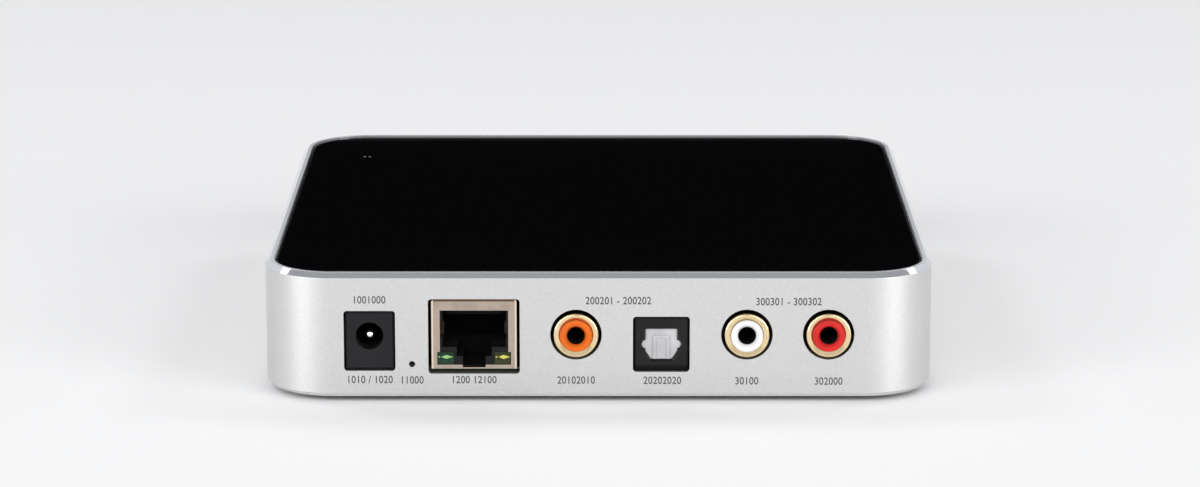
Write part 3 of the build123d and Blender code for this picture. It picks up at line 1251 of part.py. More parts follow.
def regulator_chip():
    """The supply regulator: three leads on one side and a heat tab on the other."""
    side = lead_side(REGULATOR_LENGTH, REGULATOR_HEIGHT, REGULATOR_SPAN)
    lead = across(side, REGULATOR_PITCH * LEAD_WIDTH_SHARE)
    height = (LEAD_THICKNESS, REGULATOR_HEIGHT)
    chip = block(about(0, REGULATOR_WIDTH), about(0, REGULATOR_LENGTH), height)
    for place in spread(REGULATOR_PINS, REGULATOR_PITCH):
        chip += Pos(place, 0, 0) * lead
    chip += mirror(across(side, REGULATOR_TAB_WIDTH), Plane.XZ)
    return BOARD * Pos(POWER_X, REGULATOR_DEPTH, 0) * chip


def shield_walls():
    """The fence that is soldered round the processor and its memory."""
    fence = shield_slab(0, (0, SHIELD_HEIGHT))
    fence -= shield_slab(-SHIELD_SHEET, (-OVERRUN, SHIELD_HEIGHT + OVERRUN))
    return BOARD * Pos(SHIELD_X, PROCESSOR_DEPTH, 0) * fence


def shield_slab(grow, z):
    """A plate of the shield's outline, grown by a distance, between two heights."""
    low, high = z
    width, length = SHIELD_WIDTH + 2 * grow, SHIELD_LENGTH + 2 * grow
    return Pos(0, 0, low) * extrude(RectangleRounded(width, length, SHIELD_CORNER + grow), high - low)


def shield_lid():
    """The pressed lid over the fence, with its grid of vent holes."""
    top = SHIELD_HEIGHT + SHIELD_SHEET
    lid = shield_slab(SHIELD_LID_GAP + SHIELD_SHEET, (SHIELD_HEIGHT - SHIELD_LID_SKIRT, top))
    lid -= shield_slab(SHIELD_LID_GAP, (-OVERRUN, SHIELD_HEIGHT))
    hole = rod(SHIELD_HOLE_RADIUS, (0, top + OVERRUN))
    for spot in GridLocations(SHIELD_HOLE_PITCH, SHIELD_HOLE_PITCH, SHIELD_HOLE_COLUMNS, SHIELD_HOLE_ROWS):
        lid -= spot * hole
    return BOARD * Pos(SHIELD_X, PROCESSOR_DEPTH, 0) * lid


def thermal_pad():
    """The soft pad that fills the space from the processor to the lid."""
    pad = block(about(0, PAD_SIDE), about(0, PAD_SIDE), (PROCESSOR_HEIGHT, SHIELD_HEIGHT))
    return BOARD * Pos(PROCESSOR_X, PROCESSOR_DEPTH, 0) * pad


def power_inductors():
    """The supply's wound inductors in their square cores."""
    core = extrude(RectangleRounded(INDUCTOR_SIDE, INDUCTOR_SIDE, INDUCTOR_CORNER), INDUCTOR_HEIGHT)
    depths = [INDUCTOR_DEPTH + index * INDUCTOR_PITCH for index in range(INDUCTOR_COUNT)]
    return [BOARD * Pos(POWER_X, depth, 0) * core for depth in depths]


def capacitor_can():
    """One capacitor: a moulded base with two cut corners and a can with a rolled waist."""
    base = block(about(0, CAN_BASE_SIDE), about(0, CAN_BASE_SIDE), (0, CAN_BASE_HEIGHT))
    base = chamfer(base.edges().filter_by(Axis.Z).group_by(Axis.Y)[-1], CAN_BASE_CHAMFER)
    low, waist = CAN_BASE_HEIGHT, CAN_BASE_HEIGHT + 2 * CAN_WAIST
    outline = Polyline(
        (0, low),
        (CAN_RADIUS, low),
        (CAN_RADIUS, waist),
        (CAN_RADIUS - CAN_WAIST, waist + CAN_WAIST),
        (CAN_RADIUS, waist + 2 * CAN_WAIST),
        (CAN_RADIUS, CAN_HEIGHT - CAN_EDGE),
        (CAN_RADIUS - CAN_EDGE, CAN_HEIGHT),
        (0, CAN_HEIGHT),
        close=True,
    )
    return base + turned(outline)


def can_row(x, depth, pitch, count):
    """A row of capacitors across the board, about its middle."""
    can = capacitor_can()
    return [BOARD * Pos(x + place, depth, 0) * can for place in spread(count, pitch)]


def crystals():
    """The two crystal cans that clock the processor and the audio converter."""
    can = extrude(RectangleRounded(CRYSTAL_WIDTH, CRYSTAL_LENGTH, CRYSTAL_CORNER), CRYSTAL_HEIGHT)
    places = [(SYSTEM_CRYSTAL_X, PROCESSOR_DEPTH), (AUDIO_CRYSTAL_X, CONVERTER_DEPTH)]
    return [BOARD * Pos(x, depth, 0) * can for x, depth in places]


def radio_board():
    """The wireless module's own small board, soldered flat on the main board."""
    board = block(about(0, RADIO_WIDTH), about(0, RADIO_LENGTH), (0, RADIO_THICKNESS))
    return BOARD * Pos(ANALOGUE_X, RADIO_DEPTH, 0) * board


def radio_shield():
    """The can that covers the wireless module."""
    height, sheet = RADIO_SHIELD_HEIGHT, SHIELD_SHEET
    width, length = RADIO_SHIELD_WIDTH, RADIO_SHIELD_LENGTH
    can = extrude(RectangleRounded(width, length, SHIELD_CORNER), height)
    inside = RectangleRounded(width - 2 * sheet, length - 2 * sheet, SHIELD_CORNER - sheet)
    can -= extrude(inside, height - sheet)
    return BOARD * Pos(ANALOGUE_X, RADIO_DEPTH, RADIO_THICKNESS) * can


def antennas():
    """Two stamped antennas that stand on the board near the front, mirror images of each other."""
    height, length, leg = ANTENNA_HEIGHT, ANTENNA_LENGTH, ANTENNA_LEG_WIDTH
    arm = block((0, length), (0, ANTENNA_SHEET), (height - ANTENNA_ARM, height))
    ground = block((0, leg), (0, ANTENNA_SHEET), (0, height))
    feed = block((ANTENNA_FEED_OFFSET, ANTENNA_FEED_OFFSET + leg), (0, ANTENNA_SHEET), (0, height))
    foot = block((0, leg), (0, ANTENNA_FOOT_LENGTH), (0, ANTENNA_SHEET))
    antenna = Pos(ANTENNA_X - length / 2, ANTENNA_DEPTH, 0) * (arm + ground + feed + foot)
    return [BOARD * antenna, BOARD * mirror(antenna, Plane.YZ)]


def write(name, shape):
    """Writes one node, a solid or a list of separate solids, to its own file."""
    pieces = shape if isinstance(shape, list) else [shape]
    solids = [solid for piece in pieces for solid in piece.solids()]
    node = solids[0] if len(solids) == 1 else Compound(children=solids)
    node.label = name
    export_step(node, f"parts/{name}.step")


def main():
    """Builds and writes every node."""
    os.makedirs("parts", exist_ok=True)
    ring = machined_ring()
    write("body_frame", ring - rear_stretch())
    write("rear_wall", ring & rear_stretch())
    write("top_panel", top_panel())
    write("panel_gasket", panel_gasket())
    write("base_plate", base_plate())
    write("base_screws", base_screws())
    for name, (x, y) in foot_places().items():
        write(name, foot(x, y))
    write("board_standoffs", board_standoffs())
    write("board_screws", board_screws())
    write("main_board", main_board())
    for name, x in {"coax": COAX_X, "left": LEFT_X, "right": RIGHT_X}.items():
        write(f"{name}_jack_housing", phono_housing(x))
        write(f"{name}_jack_barrel", phono_barrel(x))
        write(f"{name}_jack_insulator", phono_insulator(x))
        write(f"{name}_jack_contact", phono_contact(x))
    write("power_jack_housing", power_jack_housing())
    write("power_jack_pin", power_jack_pin())
    write("power_jack_spring", power_jack_spring())
    write("ethernet_shell", ethernet_shell())
    write("ethernet_insert", ethernet_insert())
    write("ethernet_contacts", ethernet_contacts())
    write("ethernet_lamp_green", ethernet_lamp(-1))
    write("ethernet_lamp_yellow", ethernet_lamp(1))
    write("ethernet_transformer", ethernet_transformer())
    write("optical_housing", optical_housing())
    write("optical_shutter", optical_shutter())
    write("optical_shutter_spring", optical_shutter_spring())
    write("optical_emitter", optical_emitter())
    write("reset_switch_case", reset_switch_case())
    write("reset_switch_cover", reset_switch_cover())
    write("reset_switch_plunger", reset_switch_plunger())
    write("reset_switch_dome", reset_switch_dome())
    write("status_lights", status_lights())
    write("light_guide", light_guide())
    write("processor_chip", processor_chip())
    write("memory_chip", memory_chip())
    write("shield_walls", shield_walls())
    write("shield_lid", shield_lid())
    write("thermal_pad", thermal_pad())
    write("flash_chip", small_chip(FLASH_X, FLASH_DEPTH))
    write("output_amplifier", small_chip(ANALOGUE_X, AMPLIFIER_DEPTH))
    write("converter_chip", converter_chip())
    write("regulator_chip", regulator_chip())
    write("power_inductors", power_inductors())
    write("output_capacitors", can_row(ANALOGUE_X, OUTPUT_CAN_DEPTH, OUTPUT_CAN_PITCH, OUTPUT_CAN_COUNT))
    write("supply_capacitors", can_row(POWER_X, SUPPLY_CAN_DEPTH, SUPPLY_CAN_PITCH, SUPPLY_CAN_COUNT))
    write("crystals", crystals())
    write("radio_board", radio_board())
    write("radio_shield", radio_shield())
    write("antennas", antennas())


main()
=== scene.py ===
"""A small network music streamer, seen from the side with its sockets.

Sizes are in metres. The sockets face -Y and +Z is up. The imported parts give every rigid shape; this
script gives them their finishes and adds the turned, bent and printed detail that shows up close.
"""

import json
import logging
import math
from dataclasses import dataclass
from enum import Enum
from functools import cache
from typing import Any, Callable, Iterable, Sequence

import bmesh
import bpy
from mathutils import Matrix, Vector

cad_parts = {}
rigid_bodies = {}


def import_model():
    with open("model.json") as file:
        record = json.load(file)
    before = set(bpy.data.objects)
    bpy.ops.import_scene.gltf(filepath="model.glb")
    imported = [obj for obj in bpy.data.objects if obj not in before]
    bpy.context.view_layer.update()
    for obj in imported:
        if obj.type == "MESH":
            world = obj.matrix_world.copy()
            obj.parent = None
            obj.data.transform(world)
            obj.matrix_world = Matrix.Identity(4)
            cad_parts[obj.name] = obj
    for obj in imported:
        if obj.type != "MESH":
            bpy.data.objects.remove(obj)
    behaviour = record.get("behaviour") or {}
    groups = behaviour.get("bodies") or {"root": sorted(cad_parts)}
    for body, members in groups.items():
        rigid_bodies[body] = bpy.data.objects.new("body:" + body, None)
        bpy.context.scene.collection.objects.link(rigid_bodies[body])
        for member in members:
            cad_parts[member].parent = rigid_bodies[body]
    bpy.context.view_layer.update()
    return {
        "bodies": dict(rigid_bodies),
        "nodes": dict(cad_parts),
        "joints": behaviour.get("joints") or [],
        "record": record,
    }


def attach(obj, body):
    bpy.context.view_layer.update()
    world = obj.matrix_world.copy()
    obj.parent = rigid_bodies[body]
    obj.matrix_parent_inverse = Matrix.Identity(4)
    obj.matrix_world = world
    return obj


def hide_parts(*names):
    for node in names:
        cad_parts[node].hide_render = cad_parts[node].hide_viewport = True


LOG = logging.getLogger("streamer")

MM = 0.001
REAR_Y = -63.8 * MM
BOARD_TOP = 6.4 * MM
BODY_BOTTOM = 1.2 * MM
BODY_TOP = 25.0 * MM
GLASS_TOP = 24.7 * MM
TOP_CHAMFER = 0.95 * MM
BOTTOM_CHAMFER = 0.75 * MM
SHARP_ANGLE = math.radians(32.0)
FLAT_ANGLE = math.radians(0.4)
SEAM_REACH = 2e-6
WELD_REACH = 1.5e-6
EDGE_STEPS = 2
TURNED_SIDES = 128

Color = tuple[float, float, float]
Point = tuple[float, float, float]


class Body(Enum):
    """The rigid bodies that a new piece rides on."""

    CASE = "case"
    SHUTTER = "shutter"


class Core(Enum):
    """The phono sockets' core colours."""

    ORANGE = (0.680, 0.128, 0.008)
    WHITE = (0.740, 0.740, 0.750)
    RED = (0.540, 0.020, 0.017)


def operation(kind: str, turned: bool = False) -> Callable[..., "Signal"]:
    """Makes a method that runs one Math node on a signal.

    Args:
        kind: The node's operation.
        turned: Whether the other value comes first.

    Returns:
        The method, which takes the other value where there is one.
    """
    def apply(self: "Signal", other: Any = None) -> "Signal":
        """Adds the node."""
        values = (other, self) if turned else (self, other)
        sockets = {index: value for index, value in enumerate(values) if value is not None}
        return self.sketch.signal("ShaderNodeMath", sockets, operation=kind)

    return apply


class Signal:
    """A socket's value that Python arithmetic turns into Math nodes."""

    __add__ = __radd__ = operation("ADD")
    __mul__ = __rmul__ = operation("MULTIPLY")
    __sub__, __rsub__ = operation("SUBTRACT"), operation("SUBTRACT", turned=True)
    __truediv__, __pow__ = operation("DIVIDE"), operation("POWER")
    minimum, maximum, magnitude = operation("MINIMUM"), operation("MAXIMUM"), operation("ABSOLUTE")
    sine, cosine = operation("SINE"), operation("COSINE")

    def __init__(self, sketch: "Sketch", socket: bpy.types.NodeSocket) -> None:
        """Wraps one output socket.

        Args:
            sketch: The node tree being drawn.
            socket: The output that holds the value.
        """
        self.sketch = sketch
        self.socket = socket

    def ramp(self, low: float, high: float, start: float = 0.0, end: float = 1.0) -> "Signal":
        """A smooth step.

        Args:
            low: Where the step starts.
            high: Where the step ends.
            start: The value at its start.
            end: The value at its end.

        Returns:
            The stepped signal, held at both ends.
        """
        sockets = {"Value": self, "From Min": low, "From Max": high, "To Min": start, "To Max": end}
        return self.sketch.signal("ShaderNodeMapRange", sockets, interpolation_type="SMOOTHSTEP")

    def step(self, place: float, blur: float, start: float = 0.0, end: float = 1.0) -> "Signal":
        """A smooth step about one place.

        Args:
            place: The step's middle.
            blur: How far it reaches to each side.
            start: The value before it.
            end: The value after it.

        Returns:
            The stepped signal.
        """
        return self.ramp(place - blur, place + blur, start, end)


class Sketch:
    """Draws a node tree, for a material, the world or a Geometry Nodes modifier."""

    def __init__(self, tree: bpy.types.NodeTree) -> None:
        """Starts on an emptied tree.

        Args:
            tree: The tree to draw in.
        """
        self.tree = tree
        self.tree.nodes.clear()

    def node(self, kind: str, sockets: dict[Any, Any] | None = None, **settings: Any) -> Any:
        """Adds one node.

        Args:
            kind: The node's type name.
            sockets: Values or links by input name or index.
            settings: Properties, which are set before the sockets.

        Returns:
            The new node.
        """
        made = self.tree.nodes.new(kind)
        for name, value in settings.items():
            setattr(made, name, value)
        for name, value in (sockets or {}).items():
            self.put(made.inputs[name], value)
        return made

    def put(self, socket: bpy.types.NodeSocket, value: Any) -> None:
        """Sets an input socket to a value, or links it.

        Args:
            socket: The input.
            value: A number, colour, vector, Signal or output socket.
        """
        if isinstance(value, Signal):
            self.tree.links.new(value.socket, socket)
        elif isinstance(value, bpy.types.NodeSocket):
            self.tree.links.new(value, socket)
        elif isinstance(value, tuple) and len(value) == 3 and socket.type == "RGBA":
            socket.default_value = (*value, 1.0)
        else:
            socket.default_value = value

    def signal(self, kind: str, sockets: dict[Any, Any] | None = None, output: Any = 0, **settings: Any) -> Signal:
        """Adds one node and wraps one of its outputs.

        Args:
            kind: The node's type name.
            sockets: Its inputs.
            output: The output's name or index.
            settings: Its properties.

        Returns:
            The wrapped output.
        """
        return Signal(self, self.node(kind, sockets, **settings).outputs[output])

    def blend(self, factor: Any, first: Any, second: Any) -> Signal:
        """Mixes two colours.

        Args:
            factor: How much of the second colour.
            first: A colour or a signal.
            second: A colour or a signal.

        Returns:
            The mixed colour.
        """
        sockets = {"Factor": factor, "A": first, "B": second}
        made = self.node("ShaderNodeMix", data_type="RGBA")
        for socket in made.inputs:
            if socket.name == "Factor" and socket.type == "VALUE":
                self.put(socket, factor)
            elif socket.type == "RGBA" and socket.name in sockets:
                self.put(socket, sockets[socket.name])
        return Signal(self, next(socket for socket in made.outputs if socket.type == "RGBA"))

    def place(self, centre: Point = (0.0, 0.0, 0.0), scale: Point = (1.0, 1.0, 1.0)) -> Signal:
        """Object coordinates, measured from a centre.

        Args:
            centre: The pattern's middle.
            scale: Its stretch along each axis.

        Returns:
            The coordinates as a vector signal.
        """
        where = self.node("ShaderNodeTexCoord").outputs["Object"]
        if centre == (0.0, 0.0, 0.0) and scale == (1.0, 1.0, 1.0):
            return Signal(self, where)
        moved = tuple(-c * s for c, s in zip(centre, scale))
        return self.signal("ShaderNodeMapping", {"Vector": where, "Location": moved, "Scale": scale})

    def axes(self, where: Signal) -> tuple[Signal, Signal, Signal]:
        """A vector's three parts.

        Args:
            where: The vector.

        Returns:
            Its X, Y and Z.
        """
        made = self.node("ShaderNodeSeparateXYZ", {"Vector": where})
        return tuple(Signal(self, socket) for socket in made.outputs)

    def noise(self, where: Signal, scale: float, detail: float = 2.0, roughness: float = 0.5) -> Signal:
        """A plain noise between 0 and 1.

        Args:
            where: Its coordinates.
            scale: How fine it is, per metre.
            detail: Its octaves.
            roughness: How strong the finer octaves are.

        Returns:
            The noise value.
        """
        sockets = {"Vector": where, "Scale": scale, "Detail": detail, "Roughness": roughness}
        return self.signal("ShaderNodeTexNoise", sockets, "Fac")

    def bump(self, height: Signal, strength: float, distance: float, under: Signal | None = None) -> Signal:
        """A bump from a height.

        Args:
            height: The height signal.
            strength: How much of it shows.
            distance: What a height of 1 stands for, in metres.
            under: A bump that this one lies on.

        Returns:
            The normal.
        """
        sockets = {"Height": height, "Strength": strength, "Distance": distance}
        if under is not None:
            sockets["Normal"] = under
        return self.signal("ShaderNodeBump", sockets)

    def surface(self, sockets: dict[str, Any]) -> None:
        """Ends a material in its shader.

        Args:
            sockets: The shader's inputs.
        """
        shader = self.node("ShaderNodeBsdfPrincipled", sockets)
        self.node("ShaderNodeOutputMaterial", {"Surface": shader.outputs[0]})


def new_material(name: str) -> tuple[bpy.types.Material, Sketch]:
    """Makes an empty node material.

    Args:
        name: The material's name.

    Returns:
        The material and the sketch of its tree.
    """
    material = bpy.data.materials.new(name)
    material.use_nodes = True
    return material, Sketch(material.node_tree)


def toned(color: Color, *factors: float) -> Color:
    """Makes a colour lighter or darker, held at white.

    Args:
        color: The colour.
        factors: One factor, or one for each channel.

    Returns:
        The toned colour.
    """
    spread = factors * 3 if len(factors) == 1 else factors
    return tuple(min(1.0, channel * factor) for channel, factor in zip(color, spread))


def linked(name: str, data: Any) -> bpy.types.Object:
    """Makes an object and links it to the scene.

    Args:
        name: Its name.
        data: Its mesh, curve, lamp or camera.

    Returns:
        The object.
    """
    made = bpy.data.objects.new(name, data)
    bpy.context.scene.collection.objects.link(made)
    return made


def evaluated_mesh(source: bpy.types.Object) -> bpy.types.Mesh:
    """Copies an object's mesh as its modifiers leave it.

    Args:
        source: The object.

    Returns:
        The new mesh.
    """
    graph = bpy.context.evaluated_depsgraph_get()
    shown = source.evaluated_get(graph)
    return bpy.data.meshes.new_from_object(shown, preserve_all_data_layers=True, depsgraph=graph)


class Shade:
    """A place in a moulding that little light reaches."""

    def mask(self, sketch: Sketch) -> Signal:
        """A mask that is 1 where it is dark.

        Args:
            sketch: The material being drawn.

        Returns:
            The mask.
        """
        raise NotImplementedError


@dataclass(frozen=True)
class Hollow(Shade):
    """A round hole in the rear, whose wall is dark because little light gets past its mouth."""

    x: float
    up: float
    radius: float
    mouth: float
    fade: float = 0.25 * MM

    def mask(self, sketch: Sketch) -> Signal:
        """A mask that is 1 inside the hole."""
        across, along, up = sketch.axes(sketch.place((self.x, self.mouth, self.up)))
        reach = (across * across + up * up) ** 0.5
        inside = reach.ramp(self.radius + 0.02 * MM, self.radius + 0.05 * MM, 1.0, 0.0)
        return inside * along.ramp(0.0, self.fade)


@dataclass(frozen=True)
class Band(Shade):
    """A level band of a moulding that is painted near black: painted shade, as a step back would have."""

    low: float
    high: float
    blur: float = 0.04 * MM

    def mask(self, sketch: Sketch) -> Signal:
        """A mask that is 1 inside the band."""
        up = sketch.axes(sketch.place())[2]
        return up.step(self.low, self.blur) * up.step(self.high, self.blur, 1.0, 0.0)


@dataclass(frozen=True)
class Finish:
    """A procedural finish, which each kind of surface draws in its own way."""

    name: str
    color: Color

    @cache
    def build(self) -> bpy.types.Material:
        """Builds the material, once for each finish.

        Returns:
            The material.
        """
        material, sketch = new_material(self.name)
        self.paint(sketch)
        return material

    def paint(self, sketch: Sketch) -> None:
        """Draws the material's nodes.

        Args:
            sketch: The material being drawn.
        """
        raise NotImplementedError


@dataclass(frozen=True)
class BlastedAluminium(Finish):
    """Bead-blasted and anodised aluminium with bright-cut chamfers at its top and foot."""

    name: str = "blasted_aluminium"
    color: Color = (0.660, 0.660, 0.655)
    cut_color: Color = (0.740, 0.755, 0.785)
    roughness: float = 0.40
    cut_roughness: float = 0.08
    cut_metal: float = 0.70
    grain: float = 5200.0
    pits: float = 15000.0
    cut_blur: float = 0.01 * MM

    def paint(self, sketch: Sketch) -> None:
        """Draws the material's nodes."""
        where = sketch.place()
        height = sketch.axes(where)[2]
        top = height.step(BODY_TOP - TOP_CHAMFER, self.cut_blur)
        foot = height.step(BODY_BOTTOM + BOTTOM_CHAMFER, self.cut_blur, 1.0, 0.0)
        cut = top.maximum(foot * 0.6)
        grain = sketch.noise(where, self.grain, 3.0, 0.7)
        pits = sketch.noise(where, self.pits, 2.0, 0.6)
        cloud = sketch.noise(where, 38.0, 3.0)
        streaks = sketch.noise(sketch.place(scale=(0.02, 0.02, 1.0)), 30000.0, 2.0)
        blasted = sketch.blend(grain.ramp(0.30, 0.70), toned(self.color, 0.90), toned(self.color, 1.08))
        color = sketch.blend(cut, blasted, self.cut_color)
        blasted_roughness = self.roughness + (grain - 0.5) * 0.16 + (cloud - 0.5) * 0.07
        roughness = blasted_roughness * (1 - cut) + cut * (self.cut_roughness + (streaks - 0.5) * 0.10)
        skin = sketch.bump(grain * (1 - cut) + pits * 0.5 * (1 - cut), 0.22, 0.018 * MM)
        lines = sketch.bump(streaks * cut, 0.10, 0.004 * MM, skin)
        metal = cut.ramp(0.0, 1.0, 1.0, self.cut_metal)
        sketch.surface({"Base Color": color, "Metallic": metal, "Roughness": roughness, "Normal": lines})


@dataclass(frozen=True)
class BlackGlass(Finish):
    """Glass with a black back, polished, with the faint haze of handling."""

    name: str = "black_glass"
    color: Color = (0.0020, 0.0020, 0.0024)
    roughness: float = 0.012
    haze: float = 0.006
    speck_color: Color = (0.020, 0.020, 0.021)

    def paint(self, sketch: Sketch) -> None:
        """Draws the material's nodes."""
        where = sketch.place()
        smear = sketch.noise(where, 42.0, 4.0, 0.62)
        dust = sketch.noise(where, 2600.0, 1.0)
        specks = dust.ramp(0.74, 0.80)
        color = sketch.blend(specks, self.color, self.speck_color)
        roughness = self.roughness + smear.ramp(0.40, 0.75) * self.haze + specks * 0.10
        sketch.surface({"Base Color": color, "Roughness": roughness, "IOR": 1.5, "Specular IOR Level": 0.006})


@dataclass(frozen=True)
class MouldedPlastic(Finish):
    """Injection-moulded plastic with a fine eroded skin and a faint flow cloud, and painted shade, near black and
    matt, where its shades lie.
    """

    roughness: float = 0.42
    grain: float = 7000.0
    relief: float = 0.006 * MM
    specular: float = 0.5
    shades: tuple[Shade, ...] = ()

    def paint(self, sketch: Sketch) -> None:
        """Draws the material's nodes."""
        where = sketch.place()
        skin = sketch.noise(where, self.grain, 3.0, 0.6)
        cloud = sketch.noise(where, 160.0, 2.0)
        color = sketch.blend(cloud.ramp(0.30, 0.70), toned(self.color, 0.86), toned(self.color, 1.10))
        roughness = self.roughness + (skin - 0.5) * 0.14 + (cloud - 0.5) * 0.10
        # Painted shade: where a shade's mask lies, the colour goes near black and the surface matt.
        for shade in self.shades:
            mask = shade.mask(sketch)
            color = sketch.blend(mask, color, (0.002, 0.002, 0.002))
            roughness = roughness.maximum(mask * 0.9)
        normal = sketch.bump(skin, 0.5, self.relief)
        sketch.surface({
            "Base Color": color, "Roughness": roughness, "Specular IOR Level": self.specular, "Normal": normal,
        })


@dataclass(frozen=True)
class TurnedPlating(Finish):
    """Plated metal, turned about an axis that runs from the back to the front."""

    axis: tuple[float, float] = (0.0, 0.0)
    roughness: float = 0.14
    lines: float = 42000.0
    shade_depth: float | None = None

    def paint(self, sketch: Sketch) -> None:
        """Draws the material's nodes."""
        where = sketch.place((self.axis[0], 0.0, self.axis[1]))
        across, along, up = sketch.axes(where)
        radius = (across * across + up * up) ** 0.5
        rings = ((radius + along * 0.8) * self.lines).sine() * 0.5 + 0.5
        blot = sketch.noise(where, 900.0, 3.0)
        color = sketch.blend(blot.ramp(0.35, 0.80) * 0.5, self.color, toned(self.color, 0.80, 0.70, 0.55))
        # Painted shade: further back than the given depth, the plating is painted near black.
        if self.shade_depth is not None:
            color = sketch.blend(along.ramp(self.shade_depth, self.shade_depth + 1.5 * MM), color, (0.012, 0.012, 0.012))
        roughness = self.roughness + (blot - 0.5) * 0.10 + rings * 0.03
        normal = sketch.bump(rings + blot * 0.5, 0.08, 0.004 * MM)
        sketch.surface({"Base Color": color, "Metallic": 1.0, "Roughness": roughness, "Normal": normal})


@dataclass(frozen=True)
class RolledSheet(Finish):
    """Plated sheet metal with the long fine lines of rolling, and, where they are given, painted shade under its top
    bend and a painted highlight along its side bends.
    """

    roughness: float = 0.30
    stretch: Point = (0.04, 1.0, 1.0)
    crest: float | None = None
    crest_shade_color: Color = (0.170, 0.095, 0.050)
    flanks: tuple[float, float] | None = None
    flank_highlight_color: Color = (0.880, 0.740, 0.610)

    def paint(self, sketch: Sketch) -> None:
        """Draws the material's nodes."""
        where = sketch.place()
        lines = sketch.noise(sketch.place(scale=self.stretch), 9000.0, 3.0, 0.6)
        blot = sketch.noise(where, 420.0, 3.0)
        color = sketch.blend(blot.ramp(0.30, 0.75), self.color, toned(self.color, 0.84))
        # Painted shade: a band just under the top bend is painted dark brown.
        if self.crest is not None:
            bend = sketch.axes(where)[2].ramp(self.crest - 0.36 * MM, self.crest - 0.20 * MM)
            color = sketch.blend(bend, color, self.crest_shade_color)
        # Painted highlight: a thin line along each side bend is painted pale.
        if self.flanks is not None:
            middle, half = self.flanks
            side = (sketch.axes(where)[0] - middle).magnitude()
            rise = side.ramp(half - 0.42 * MM, half - 0.32 * MM)
            bend = rise * side.ramp(half - 0.16 * MM, half - 0.06 * MM, 1.0, 0.0)
            color = sketch.blend(bend, color, self.flank_highlight_color)
        roughness = self.roughness + (lines - 0.5) * 0.18 + (blot - 0.5) * 0.12
        normal = sketch.bump(lines, 0.20, 0.004 * MM)
        sketch.surface({"Base Color": color, "Metallic": 1.0, "Roughness": roughness, "Normal": normal})


@dataclass(frozen=True)
class LampLens(Finish):
    """A small tinted lamp: its lead frame is painted as a pale dart and a dot, a painted highlight with a faint
    painted glow, and its body is painted lighter towards the bottom.
    """

    dart_highlight_and_glow_color: Color
    centre: Point
    rise: float = 0.22 * MM
    dart_start: float = -0.80 * MM
    dart_crest: float = 0.10 * MM
    dart_end: float = 1.42 * MM
    dart_height: float = 0.40 * MM
    dot_place: float = -1.17 * MM
    dot_radius: float = 0.20 * MM

    def paint(self, sketch: Sketch) -> None:
        """Draws the material's nodes."""
        across, _, up = sketch.axes(sketch.place(self.centre))
        lift = (up - self.rise).magnitude()
        growing = (across - self.dart_start) / (self.dart_crest - self.dart_start)
        falling = (self.dart_end - across) / (self.dart_end - self.dart_crest)
        dart = (growing.minimum(falling) * self.dart_height - lift).ramp(-0.06 * MM, 0.08 * MM)
        dot = ((across - self.dot_place) ** 2.0 + lift ** 2.0) ** 0.5
        shape = dart.maximum(dot.ramp(self.dot_radius * 0.6, self.dot_radius * 1.2, 0.7, 0.0))
        cells = sketch.noise(sketch.place(), 3200.0, 2.0)
        # The body is painted lighter towards the bottom.
        lower = up.ramp(-1.0 * MM, 1.0 * MM, 1.0, 0.0)
        body = sketch.blend(lower * 0.6 + cells * 0.4, toned(self.color, 0.55), self.color)
        # Painted highlight: the dart and the dot are painted pale.
        color = sketch.blend(shape * (0.80 + cells * 0.30), body, self.dart_highlight_and_glow_color)
        # Painted glow: the dart and the dot give off a faint light of their own.
        sketch.surface({
            "Base Color": color, "Roughness": 0.20 + cells * 0.10, "Specular IOR Level": 0.18,
            "Emission Color": sketch.blend(shape, (0.0, 0.0, 0.0), self.dart_highlight_and_glow_color), "Emission Strength": 0.12,
        })


@dataclass(frozen=True)
class SolderMask(Finish):
    """A circuit board's lacquer over its copper runs."""

    name: str = "solder_mask"
    color: Color = (0.004, 0.012, 0.008)
    run_color: Color = (0.006, 0.021, 0.014)

    def paint(self, sketch: Sketch) -> None:
        """Draws the material's nodes."""
        where = sketch.place()
        across, along, _ = sketch.axes(where)
        weave = sketch.noise(where, 3000.0, 2.0)
        cells = {"Vector": where, "Scale": 90.0, "Randomness": 0.35}
        region = sketch.signal("ShaderNodeTexVoronoi", cells, "Color", distance="CHEBYCHEV")
        lengthways = sketch.axes(region)[0].ramp(0.49, 0.51)
        bars = (across * 5200.0).sine().ramp(0.2, 0.5) * lengthways
        rows = (along * 5200.0).sine().ramp(0.2, 0.5) * (1 - lengthways)
        runs = bars + rows
        color = sketch.blend(runs, self.color, self.run_color)
        normal = sketch.bump(runs + weave * 0.15, 0.5, 0.02 * MM)
        sketch.surface({"Base Color": color, "Roughness": 0.28 + weave * 0.12, "Normal": normal})


@dataclass(frozen=True)
class SoftRubber(Finish):
    """Matt rubber or foam with a fine grain."""

    roughness: float = 0.75
    grain: float = 2600.0

    def paint(self, sketch: Sketch) -> None:
        """Draws the material's nodes."""
        where = sketch.place()
        grain = sketch.noise(where, self.grain, 4.0, 0.65)
        color = sketch.blend(grain, self.color, toned(self.color, 1.6))
        normal = sketch.bump(grain, 0.6, 0.03 * MM)
        sketch.surface({"Base Color": color, "Roughness": self.roughness + (grain - 0.5) * 0.2, "Normal": normal})


@dataclass(frozen=True)
class ClearMoulding(Finish):
    """Clear plastic, seen mostly as its own bright edges."""

    color: Color = (0.86, 0.88, 0.90)
    alpha: float = 0.45

    def paint(self, sketch: Sketch) -> None:
        """Draws the material's nodes."""
        cloud = sketch.noise(sketch.place(), 600.0, 2.0)
        sketch.surface({
            "Base Color": self.color, "Roughness": 0.06 + cloud * 0.06, "Alpha": self.alpha + (cloud - 0.5) * 0.1,
            "IOR": 1.49,
        })


